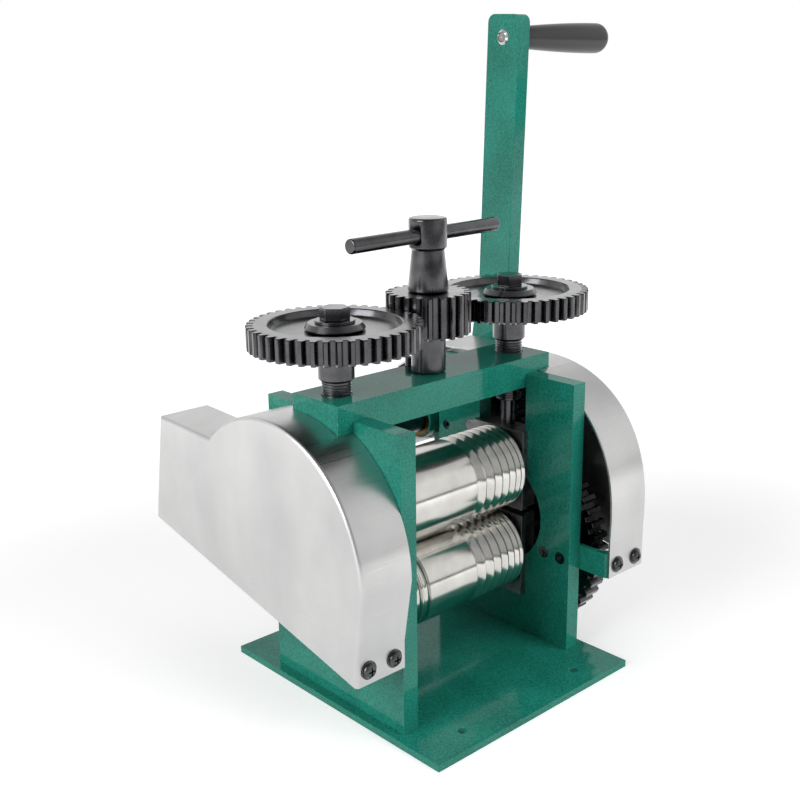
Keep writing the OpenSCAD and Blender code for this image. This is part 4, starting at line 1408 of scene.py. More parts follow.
@dataclass
class GearTrain(Drive):
    """Roll gears, crank pinions and idler behind the guards."""

    joints: dict[str, Vector] = field(default_factory=dict)
    near: float = 84 * MM
    width: float = 12 * MM
    seat_r: float = 10 * MM
    hub_r: float = 16 * MM
    rim_r: float = 45 * MM
    dish: float = 2.5 * MM
    shaft_r: float = 8 * MM
    pinion_hub_r: float = 12 * MM
    stud_r: float = 6.05 * MM
    right_module: float = 2.5 * MM
    left_module: float = 2.25 * MM
    roll_teeth: int = 44
    crank_teeth: int = 18
    idler_teeth: int = 16
    short_tip: float = 0.65

    def build(self) -> None:
        """Builds the five gears in mesh."""
        lower, upper = self.joints["lower_roll_spin"], self.joints["upper_roll_spin"]
        crank, idler = self.joints["crank_spin"], self.joints["idler_spin"]
        right, left = self.right_module, self.left_module
        to_idler = self.direction(lower, idler)
        big = SpurGear(right, self.roll_teeth, self.width, self.short_tip)
        self.roll_gear("lower_roll_gear", big, lower, Axis.RIGHT, to_idler)
        wheel = SpurGear(right, self.idler_teeth, self.width)
        idler_phase = to_idler + math.pi + math.pi / wheel.teeth
        self.plain("idler_gear", wheel, idler, Axis.RIGHT, idler_phase, self.stud_r)
        pinion = SpurGear(right, self.crank_teeth, self.width)
        to_crank = self.direction(idler, crank)
        lead = (to_crank - idler_phase) * wheel.teeth / math.tau
        phase = to_crank + math.pi - (0.5 - lead) * math.tau / pinion.teeth
        seat = (self.shaft_r, self.pinion_hub_r)
        self.plain("right_drive_pinion", pinion, crank, Axis.RIGHT, phase, *seat)
        small = SpurGear(left, self.crank_teeth, self.width)
        phase = self.direction(crank, upper)
        self.plain("left_drive_pinion", small, crank, Axis.LEFT, phase, *seat)
        large = SpurGear(left, self.roll_teeth, self.width)
        phase += math.pi + math.pi / large.teeth
        self.roll_gear("upper_roll_gear", large, upper, Axis.LEFT, phase)

    @staticmethod
    def direction(start: Vector, end: Vector) -> float:
        """Gives the angle from one axis to another in the YZ plane.

        Args:
            start: The first axis.
            end: The second axis.

        Returns:
            The angle in radians.
        """
        return math.atan2(end.z - start.z, end.y - start.y)

    def place(self, axis: Axis, centre: Vector) -> Vector:
        """Gives the middle of a gear's near face.

        Args:
            axis: The way its width runs.
            centre: A point on its axis.

        Returns:
            The place in the frame.
        """
        side = 1 if axis is Axis.RIGHT else -1
        return Vector((side * self.near, centre.y, centre.z))

    def hub_start(self, node: str, axis: Axis) -> float:
        """Gives how far a node's hub stands out on the plate's side.

        Args:
            node: The gear's node.
            axis: The way its width runs.

        Returns:
            A height below the near face, zero or negative.
        """
        low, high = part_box(node)
        inner = low.x if axis is Axis.RIGHT else -high.x
        return min(0.0, inner - self.near)

    def roll_gear(
        self, node: str, sizes: SpurGear, centre: Vector, axis: Axis, phase: float
    ) -> None:
        """Builds a roll gear with its hub and shallow dish.

        Args:
            node: The node that it replaces.
            sizes: The teeth.
            centre: A point on its axis.
            axis: The way its width runs.
            phase: Turn of the first tooth.
        """
        hub, top, slope = self.hub_start(node, axis), self.width, self.dish / 2
        floor = top - self.dish
        rim = [
            (self.seat_r, hub), (self.hub_r, hub), (self.hub_r, 0), *self.rim_edge(sizes),
            (self.rim_r, top), (self.rim_r - slope, floor), (self.hub_r + slope, floor),
            (self.hub_r, top), (self.seat_r, top),
        ]
        self.gear(node, sizes, self.place(axis, centre), axis, phase, rim)

    def plain(
        self,
        node: str,
        sizes: SpurGear,
        centre: Vector,
        axis: Axis,
        phase: float,
        bore: float,
        hub_r: float = 0.0,
    ) -> None:
        """Builds a pinion with its hub, or the idler, which has none.

        Args:
            node: The node that it replaces.
            sizes: The teeth.
            centre: A point on its axis.
            axis: The way its width runs.
            phase: Turn of the first tooth.
            bore: Radius of its bore.
            hub_r: Radius of its hub, or zero.
        """
        hub = self.hub_start(node, axis)
        start = [(bore, hub), (hub_r, hub), (hub_r, 0)] if hub_r else [(bore, 0)]
        rim = [*start, *self.rim_edge(sizes), (bore, self.width)]
        self.gear(node, sizes, self.place(axis, centre), axis, phase, rim)


@dataclass
class Rolls:
    """Both rolls, turned with their wire grooves and journals."""

    shop: Workshop
    joints: dict[str, Vector]
    radius: float = 25 * MM
    half: float = 55 * MM
    land: float = 0.8 * MM
    journal_r: float = 12 * MM
    seat_r: float = 10 * MM
    chamfer: float = 0.8 * MM
    left_step: float = 71.3 * MM
    right_step: float = 77.6 * MM
    groove_edge: float = 1.2 * MM
    groove_soft: float = 0.12 * MM
    pitches: tuple[float, ...] = (7.3, 7.1, 6.5, 6.0, 5.4, 4.5, 3.4)
    round_r: float = 2.8 * MM
    round_pitch: float = 6.3 * MM
    round_edge: float = 23.1 * MM
    round_steps: int = 12
    steps: int = 192
    sharp: float = 25.0

    def grooves(self) -> list[Point]:
        """Gives the V grooves with softly rounded lands.

        Returns:
            Radii and places.
        """
        soft, radius = self.groove_soft, self.radius
        place = self.half - self.groove_edge - sum(self.pitches) * MM
        points: list[Point] = []
        for pitch in self.pitches:
            half_w = (pitch * MM - self.land) / 2
            start = place + self.land
            middle, end, floor = start + half_w, start + 2 * half_w, radius - half_w
            points += [
                (radius, start - soft), (radius - soft, start + soft),
                (floor + soft, middle - soft), (floor + soft, middle + soft),
                (radius - soft, end - soft), (radius, end + soft),
            ]
            place += pitch * MM
        return points

    def half_rounds(self, count: int) -> list[Point]:
        """Gives the half round grooves at the left end.

        Args:
            count: Number of grooves.

        Returns:
            Radii and places.
        """
        first, steps = self.round_edge - self.half, self.round_steps
        return [
            (
                self.radius - self.round_r * math.sin(a),
                first + i * self.round_pitch - self.round_r * math.cos(a),
            )
            for i in range(count)
            for a in (math.pi * k / steps for k in range(steps + 1))
        ]

    def build(self) -> None:
        """Builds both rolls."""
        self.roll("upper_roll", self.joints["upper_roll_spin"], (self.seat_r, self.journal_r), 0)
        self.roll("lower_roll", self.joints["lower_roll_spin"], (self.journal_r, self.seat_r), 2)

    def end(self, reach: float, radius: float, step: float) -> list[Point]:
        """Gives a roll's left end from its middle outwards to the journal.

        Args:
            reach: Distance of the end from the roll's middle.
            radius: Radius of the gear seat, or of the journal where no gear sits.
            step: Distance of the gear seat's shoulder from the roll's middle.

        Returns:
            Radii and places.
        """
        if radius < self.journal_r:
            return [(0, -reach), (radius, -reach), (radius, -step), (self.journal_r, -step)]
        soft = self.chamfer
        return [(0, -reach), (radius - soft, -reach), (radius, soft - reach)]

    def roll(self, node: str, centre: Vector, ends: tuple[float, float], rounds: int) -> None:
        """Builds one roll.

        Args:
            node: The node that it replaces.
            centre: A point on its axis.
            ends: Radii of its left and right ends.
            rounds: Number of half round grooves.
        """
        low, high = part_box(node)
        soft = self.chamfer
        profile = [
            *self.end(-low.x, ends[0], self.left_step), (self.journal_r, -self.half),
            (self.radius - soft, -self.half), (self.radius, -self.half + soft),
            *self.half_rounds(rounds), *self.grooves(),
            (self.radius, self.half - soft / 2), (self.radius - soft / 2, self.half),
            (self.journal_r, self.half),
            *[(r, -x) for r, x in reversed(self.end(high.x, ends[1], self.right_step))],
        ]
        obj = turned(f"{node}_ground", profile, self.steps, self.sharp)
        obj.data.transform(Axis.RIGHT.matrix(Vector((0, centre.y, centre.z))))
        self.shop.mount(obj, Slot.POLISHED, [node])


@dataclass(frozen=True)
class GuardShape:
    """Side view of a guard's rim, from its rear foot over the top to its front foot.

    Attributes:
        rear: Straight stretch at the rear, as places and heights.
        hood: Points of the rounded hood.
        front: Straight stretch at the front.
    """

    rear: tuple[Point, ...]
    hood: tuple[Point, ...]
    front: tuple[Point, ...]

    def points(self) -> list[Vector]:
        """Gives the whole outline in metres, in the YZ plane."""
        return [Vector((0, y * MM, z * MM)) for y, z in (*self.rear, *self.hood, *self.front)]


def left_guard_shape() -> GuardShape:
    """Gives the left guard: a round hood whose rear runs into a flat box.

    Returns:
        The shape, in millimetres.
    """
    steps = 40
    centre_y, centre_z, radius, start = 13.0, 95.2, 74.4, 44.6
    angles = [math.radians(start + (180 - start) * i / steps) for i in range(steps + 1)]
    hood = tuple(
        (centre_y + radius * math.cos(a), centre_z + radius * math.sin(a)) for a in angles
    )
    rear = ((127.5, 85.1), (115.8, 149.4))
    front = ((-55.5, 60.0), (-55.5, 44.6))
    return GuardShape(rear, hood, front)


def right_guard_shape() -> GuardShape:
    """Gives the right guard: a hood a little squarer than a circle.

    Returns:
        The shape, in millimetres.
    """
    centre_y, centre_z, half_y, half_z, power = 4.0, 90.0, 80.0, 81.5, 2.3
    hood = tuple(
        (
            centre_y - half_y * math.sin(a) ** (2 / power),
            centre_z + half_z * max(0.0, math.cos(a)) ** (2 / power),
        )
        for a in quarter(40)
    )
    rear = ((104.0, 92.0), (104.0, 150.0), (66.0, 171.5))
    front = ((-75.6, 78.0), (-75.6, 54.5))
    return GuardShape(rear, hood, front)


@dataclass(frozen=True)
class PanScrew:
    """Cross recess pan head screw with its washer.

    Attributes:
        washer_r: Radius of the washer.
        washer_t: Thickness of the washer.
        head_r: Radius of the head.
        head_t: Height of the head.
        shank_r: Radius of the shank.
        reach: Length of the shank.
        edge: Bevel of the washer.
        dome_power: How round the head's dome is; less makes it fuller.
        recess: Length, width and height of the recess's arms.
        steps: Number of segments round it.
        sharp: Edges that turn further than this many degrees stay sharp.
    """

    washer_r: float = 4.9 * MM
    washer_t: float = 0.6 * MM
    head_r: float = 4 * MM
    head_t: float = 2.2 * MM
    shank_r: float = 2 * MM
    reach: float = 7.4 * MM
    edge: float = 0.15 * MM
    dome_power: float = 0.6
    recess: tuple[float, float, float] = (4.2 * MM, 0.95 * MM, 2.6 * MM)
    steps: int = 48
    sharp: float = 35.0

    def build(self) -> bpy.types.Object:
        """Builds the screw, pointing along Z with its head on top.

        Returns:
            The screw.
        """
        washer_r, washer_t, soft = self.washer_r, self.washer_t, self.edge
        top = washer_t + self.head_t
        dome = [
            (self.head_r * math.cos(a) ** self.dome_power, washer_t + self.head_t * math.sin(a))
            for a in quarter(8)[:-1]
        ]
        screw = turned("pan_screw", [
            (0, -self.reach), (self.shank_r, -self.reach), (self.shank_r, 0),
            (washer_r - soft, 0), (washer_r, soft), (washer_r, washer_t - soft),
            (washer_r - soft, washer_t), *dome, (0, top),
        ], self.steps, self.sharp)
        build = bmesh.new()
        for turn in (0, math.pi / 2):
            arm = bmesh.ops.create_cube(build, size=1.0)["verts"]
            matrix = (
                Matrix.Translation((0, 0, top)) @ Matrix.Rotation(turn, 4, "Z")
                @ Matrix.Diagonal((*self.recess, 1))
            )
            bmesh.ops.transform(build, verts=arm, matrix=matrix)
        cross = object_from("cross_recess", build)
        add_cut(screw, cross).use_self = True
        applied(screw)
        bpy.data.objects.remove(cross)
        return screw


@dataclass(frozen=True)
class CountersunkScrew:
    """Countersunk socket screw.

    Attributes:
        head_r: Radius of the head.
        head_t: Height of the head.
        shank_r: Radius of the shank.
        length: Overall length.
        socket_r: Radius of the socket.
        socket_depth: Depth of the socket.
        mouth_share: Radius of the socket's mouth, as a share of its own.
        sunk: How far the head lies below the plate's face.
        steps: Number of segments round it.
        sharp: Edges that turn further than this many degrees stay sharp.
    """

    head_r: float = 3.7 * MM
    head_t: float = 2 * MM
    shank_r: float = 2 * MM
    length: float = 12.8 * MM
    socket_r: float = 1.25 * MM
    socket_depth: float = 1.5 * MM
    mouth_share: float = 1.15
    sunk: float = 0.05 * MM
    steps: int = 48
    sharp: float = 35.0

    def build(self) -> bpy.types.Object:
        """Builds the screw, pointing along Z with its head on top.

        Returns:
            The screw.
        """
        socket, depth, sunk = self.socket_r, self.socket_depth, self.sunk
        return turned("countersunk_screw", [
            (0, -self.length), (self.shank_r, -self.length), (self.shank_r, -self.head_t),
            (self.head_r, -2 * sunk), (self.head_r, -sunk), (socket * self.mouth_share, -sunk),
            (socket, -4 * sunk), (socket, -depth), (0, -depth - socket / 3),
        ], self.steps, self.sharp)


@dataclass
class Guards:
    """Bent sheet guards with their brackets and screws."""

    shop: Workshop
    rows: bpy.types.NodeTree
    sheet: float = 1.2 * MM
    plate_out: float = 71 * MM
    face_x: float = 104 * MM
    bend_r: float = 2.2 * MM
    bend_steps: int = 5
    beam_half: float = 18.8 * MM
    beam_low: float = 160.4 * MM
    beam_end: float = 81.3 * MM
    notch_over: float = 2 * MM
    notch_h: float = 40 * MM
    shaft_y: float = 69 * MM
    shaft_z: float = 123 * MM
    shaft_hole: float = 11.5 * MM
    drill_reach: float = 6 * MM
    gap: float = 0.3 * MM
    foot_least: float = 0.2
    edge: float = 0.15 * MM
    edge_from: float = 50.0
    sharp: float = 40.0
    screw_inset: float = 7.6 * MM
    screw_step: float = 17.2 * MM
    left_front: float = -55.5 * MM
    right_front: float = -75.6 * MM
    sunk_x: float = 61 * MM
    sunk_y: float = -34.4 * MM
    sunk_step: float = -12.6 * MM

    def build(self) -> None:
        """Builds both guards, their brackets and their screws."""
        self.guard("left_guard", left_guard_shape(), -1, None)
        shaft = Vector((0, self.shaft_y, self.shaft_z))
        self.guard("right_guard", right_guard_shape(), 1, shaft)
        for node in ("left_guard_bracket", "right_guard_bracket"):
            self.shop.eased_copy(node, Slot.PAINT, 0.35)
        self.screws()

    @staticmethod
    def inward(points: list[Vector], index: int) -> Vector:
        """Gives the mitred direction towards the inside of an outline.

        Args:
            points: The outline, from the rear foot over the top to the front foot.
            index: Which point.

        Returns:
            A vector that moves the point one unit in from both neighbours' edges.
        """
        last = len(points) - 1
        after = (points[min(index + 1, last)] - points[min(index, last - 1)]).normalized()
        before = (points[max(index, 1)] - points[max(index - 1, 0)]).normalized()
        first, second = Vector((0, -after.z, after.y)), Vector((0, -before.z, before.y))
        return (first + second) / (1 + first.dot(second))

    def flat(self, points: list[Vector], index: int) -> Vector:
        """Gives the direction along the guard's open lower edge at one of its feet.

        Args:
            points: The outline.
            index: The foot's index, the first or the last.

        Returns:
            A vector that moves the foot as far in as its neighbour moves.
        """
        other = points[-1] if index == 0 else points[0]
        towards = self.inward(points, index)
        along = (other - points[index]).normalized()
        return along / max(self.foot_least, along.dot(towards))

    def bent_skin(self, points: list[Vector], side: int) -> bmesh.types.BMesh:
        """Builds a guard's outer skin, with a real bend between its face and its rim.

        Args:
            points: Its outline in side view.
            side: -1 on the left, 1 on the right.

        Returns:
            The skin, which faces outwards.
        """
        bend, face_x = self.bend_r, self.face_x
        rim = [(self.plate_out + self.gap, 0.0)] + [
            (face_x - bend + bend * math.sin(a), bend * (1 - math.cos(a)))
            for a in quarter(self.bend_steps)
        ]
        feet = (0, len(points) - 1)
        build = bmesh.new()
        columns = []
        for i, point in enumerate(points):
            towards = self.flat(points, i) if i in feet else self.inward(points, i)
            columns.append([
                build.verts.new(Vector((side * x, point.y, point.z)) + towards * inset)
                for x, inset in rim
            ])
        for first, second in zip(columns, columns[1:]):
            for k in range(len(first) - 1):
                build.faces.new((first[k], second[k], second[k + 1], first[k + 1]))
        build.faces.new([column[-1] for column in columns])
        bmesh.ops.triangulate(build, faces=[f for f in build.faces if len(f.verts) > 4])
        bmesh.ops.recalc_face_normals(build, faces=build.faces)
        outward = sum((f.normal.x for f in build.faces if abs(f.normal.x) > 0.9), 0.0)
        if outward * side < 0:
            bmesh.ops.reverse_faces(build, faces=build.faces)
        smooth_by_angle(build, self.sharp)
        return build

    def guard(self, node: str, shape: GuardShape, side: int, hole: Vector | None) -> None:
        """Builds a guard, notched round the beam and drilled for the crank shaft.

        Args:
            node: The node that it replaces.
            shape: Its side view.
            side: -1 on the left, 1 on the right.
            hole: Axis of the crank shaft's hole, or nothing.
        """
        obj = object_from(f"{node}_bent", self.bent_skin(shape.points(), side))
        wall = obj.modifiers.new("sheet", "SOLIDIFY")
        wall.thickness = self.sheet
        wall.offset = -1
        wall.use_even_offset = True
        cutters = [self.beam_cutter(side)]
        if hole is not None:
            cutters.append(self.shaft_cutter(side, hole))
        for cutter in cutters:
            add_cut(obj, cutter)
        add_edge(obj, self.edge, 1, self.edge_from)
        applied(obj)
        for cutter in cutters:
            bpy.data.objects.remove(cutter)
        self.shop.mount(obj, Slot.SHEET, [node])

    def beam_cutter(self, side: int) -> bpy.types.Object:
        """Builds the box that notches a guard round the beam's end.

        Args:
            side: -1 on the left, 1 on the right.

        Returns:
            The cutting object.
        """
        build = bmesh.new()
        bmesh.ops.create_cube(build, size=1.0)
        depth = self.beam_end - self.plate_out + self.notch_over
        size = (depth, 2 * self.beam_half, self.notch_h)
        middle = (side * (self.beam_end - depth / 2), 0, self.beam_low + size[2] / 2)
        matrix = Matrix.Translation(middle) @ Matrix.Diagonal((*size, 1))
        bmesh.ops.transform(build, verts=build.verts, matrix=matrix)
        return object_from("beam_cutter", build)

    def shaft_cutter(self, side: int, axis: Vector) -> bpy.types.Object:
        """Builds the drill for the crank shaft's hole.

        Args:
            side: -1 on the left, 1 on the right.
            axis: A point on the shaft's axis.

        Returns:
            The cutting object.
        """
        obj = drill("shaft_cutter", self.shaft_hole, self.drill_reach)
        obj.data.transform(Axis.RIGHT.matrix(Vector((side * self.face_x, axis.y, axis.z))))
        return obj

    def screws(self) -> None:
        """Builds the eight screws of both guards in rows."""
        finish = self.shop.finish(Slot.BLACK)
        rows = []
        for node, side, front in (
            ("left_guard", -1, self.left_front), ("right_guard", 1, self.right_front)
        ):
            low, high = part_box(f"{node}_bracket")
            middle = (low.z + high.z) / 2
            pan = PanScrew().build()
            pan.data.transform(Matrix.Rotation(math.pi / 2, 4, "X"))
            rows.append(NodeTools.run(pan, self.rows, {
                "Count": 2, "Finish": finish,
                "Start": (side * (self.plate_out + self.screw_inset), front, middle),
                "Step": (side * self.screw_step, 0, 0),
            }))
            sunk = CountersunkScrew().build()
            sunk.data.transform(Matrix.Rotation(-side * math.pi / 2, 4, "Y"))
            rows.append(NodeTools.run(sunk, self.rows, {
                "Count": 2, "Finish": finish,
                "Start": (side * self.sunk_x, self.sunk_y, middle),
                "Step": (0, self.sunk_step, 0),
            }))
        self.shop.mount(joined("guard_screws_in_rows", rows), Slot.BLACK, ["guard_fasteners"])


@dataclass
class Crank:
    """Bent crank arm, its fasteners and the turning grip."""

    shop: Workshop
    joints: dict[str, Vector]
    pin_r: float = 3.5 * MM
    head_r: float = 4.6 * MM
    dome_h: float = 1.2 * MM
    dome_power: float = 0.8
    cup_r: float = 3 * MM
    cup_depth: float = 0.6 * MM
    centre_r: float = 0.8 * MM
    centre_depth: float = 0.5 * MM
    soft: float = 0.2 * MM
    ring_r: float = 5.6 * MM
    ring_t: float = 1 * MM
    root_r: float = 6.2 * MM
    root_ease: float = 0.1 * MM
    root_l: tuple[float, float] = (2.5 * MM, 5 * MM)
    lip: float = 0.5 * MM
    swell: float = 0.6 * MM
    swell_from: float = 8 * MM
    swell_power: float = 0.92
    cap: float = 8.3 * MM
    bore: float = 3.55 * MM
    bore_l: float = 74 * MM
    side_steps: int = 14
    rivet_steps: int = 64
    grip_steps: int = 128
    grip_sharp: float = 40.0

    def build(self) -> None:
        """Builds the crank's pieces."""
        self.shop.eased_copy("crank_arm", Slot.PAINT, 0.8)
        self.shop.eased_copy("crank_nut", Slot.BLACK, 0.35)
        self.shop.eased_copy("crank_washer", Slot.BLACK, 0.25)
        self.shop.eased_copy("crank_shaft", Slot.BLACK, 0.5)
        self.rivet()
        self.grip()

    def on_axis(
        self, name: str, profile: list[Point], steps: int, start: float, degrees: float = SHARP
    ) -> bpy.types.Object:
        """Turns a piece on the grip's axis.

        Args:
            name: The piece's name.
            profile: Radii and places along the axis.
            steps: Number of segments round it.
            start: Where along X the profile's own zero lies.
            degrees: Edges that turn further than this stay sharp.

        Returns:
            The piece.
        """
        centre = self.joints["grip_spin"]
        obj = turned(name, profile, steps, degrees)
        obj.data.transform(Axis.RIGHT.matrix(Vector((start, centre.y, centre.z))))
        return obj

    def rivet(self) -> None:
        """Builds the grip's spindle with its riveted end, a bright ring round a dull cup."""
        low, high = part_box("grip_spindle")
        pin, ring, cup, soft = self.pin_r, self.ring_r, self.cup_r, self.soft
        arm_in, arm_out = (corner.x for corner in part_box("crank_arm"))
        ring_end = arm_out + self.ring_t
        dome = [
            (self.head_r * math.sin(a), arm_in - self.dome_h * math.cos(a) ** self.dome_power)
            for a in quarter(8)[6:]
        ]
        profile = [
            (0, arm_in), (cup, arm_in), (cup, low.x + soft), (cup + soft, low.x), *dome,
            (pin, arm_in), (pin, arm_out), (ring, arm_out), (ring, ring_end), (pin, ring_end),
            (pin, high.x), (0, high.x),
        ]
        obj = self.on_axis("grip_spindle_riveted", profile, self.rivet_steps, 0)
        self.shop.mount(obj, Slot.POLISHED, ["grip_spindle"])
        face = arm_in - self.cup_depth
        core = [
            (0, face + self.centre_depth), (self.centre_r, face), (cup - soft, face),
            (cup, face + soft), (cup, arm_in), (0, arm_in),
        ]
        disc = self.on_axis("grip_spindle_cup", core, self.rivet_steps, 0)
        self.shop.mount(disc, Slot.GROUND, [], self.shop.nodes["grip_spindle"]["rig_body"])

    def grip(self) -> None:
        """Builds the tapered grip with a rolled root and a domed end."""
        low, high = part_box("handle_grip")
        wide, length = (high.z - low.z) / 2, high.x - low.x
        body, taper = length - self.cap, length - self.cap - self.swell_from
        root, lip, narrow = self.root_r, self.lip, self.root_r + self.swell
        sides = [
            (
                narrow + (wide - narrow) * math.sin(share * math.pi / 2) ** self.swell_power,
                self.swell_from + taper * share,
            )
            for share in (i / self.side_steps for i in range(self.side_steps + 1))
        ]
        dome = [
            (wide * math.cos(a), body + self.cap * math.sin(a)) for a in quarter(16)[1:-1]
        ]
        profile = [
            (0, self.bore_l), (self.bore, self.bore_l), (self.bore, 0), (root - lip, 0),
            (root, lip), *((root + self.root_ease, place) for place in self.root_l),
            *sides, *dome, (0, length),
        ]
        obj = self.on_axis(
            "handle_grip_moulded", profile, self.grip_steps, low.x, self.grip_sharp
        )
        self.shop.mount(obj, Slot.PLASTIC, ["handle_grip"])


@dataclass
class Housing:
    """Base, side plates, beam, brackets and bearings that carry the rest."""

    shop: Workshop
    painted: dict[str, float] = field(default_factory=lambda: {
        "base_plate": 0.5, "left_side_plate": 0.6, "right_side_plate": 0.6, "top_beam": 0.9,
        "left_rear_bracket": 0.5, "right_rear_bracket": 0.5,
    })
    bare: dict[str, float] = field(default_factory=lambda: {
        "left_lower_block": 0.4, "right_lower_block": 0.4, "left_upper_block": 0.4,
        "right_upper_block": 0.4, "upper_lock_nut": 0.4, "lower_right_nut": 0.4,
        "lower_left_nut": 0.4, "idler_stud": 0.3,
    })
    blackened: dict[str, float] = field(default_factory=lambda: {
        "left_gear_bolt": 0.5, "right_gear_bolt": 0.5, "left_gear_washer": 0.25,
        "right_gear_washer": 0.25, "upper_gear_bolt": 0.4, "lower_gear_bolt": 0.4,
        "post_stop_screw": 0.3,
    })
    plain_nodes: dict[Slot, tuple[str, ...]] = field(default_factory=lambda: {
        Slot.BLACK: ("base_screws", "rear_bracket_bolts", "handle_lock_screw"),
        Slot.POLISHED: ("screw_pins", "idler_clip"),
        Slot.GROUND: ("upper_gear_key", "lower_gear_key"),
        Slot.BRONZE: (
            "left_crank_bush", "right_crank_bush", "lower_bushes", "upper_bushes",
            "upper_thrust_washers", "lower_thrust_washers",
        ),
    })

    def build(self) -> None:
        """Eases the edges of what shows and finishes what stays as it is."""
        for sizes, slot in (
            (self.painted, Slot.PAINT), (self.bare, Slot.GROUND), (self.blackened, Slot.BLACK)
        ):
            for node, edge in sizes.items():
                self.shop.eased_copy(node, slot, edge)
        for slot, nodes in self.plain_nodes.items():
            for node in nodes:
                self.shop.paint_node(node, slot)


@dataclass(frozen=True)
class Lamp:
    """A square soft lamp.

    Attributes:
        name: Its name.
        place: Where it hangs.
        size: Length of its sides.
        watts: Its power.
        mirrored: Whether reflections show it.
    """

    name: str
    place: tuple[float, float, float]
    size: float
    watts: float
    mirrored: bool = False

    def hang(self, target: Vector) -> None:
        """Hangs the lamp.

        Args:
            target: What it points at.
        """
        data = bpy.data.lights.new(self.name, "AREA")
        data.size = self.size
        data.energy = self.watts
        lamp = bpy.data.objects.new(self.name, data)
        lamp.location = self.place
        lamp.rotation_euler = (target - Vector(self.place)).to_track_quat("-Z", "Y").to_euler()
        lamp.visible_glossy = self.mirrored
        bpy.context.scene.collection.objects.link(lamp)


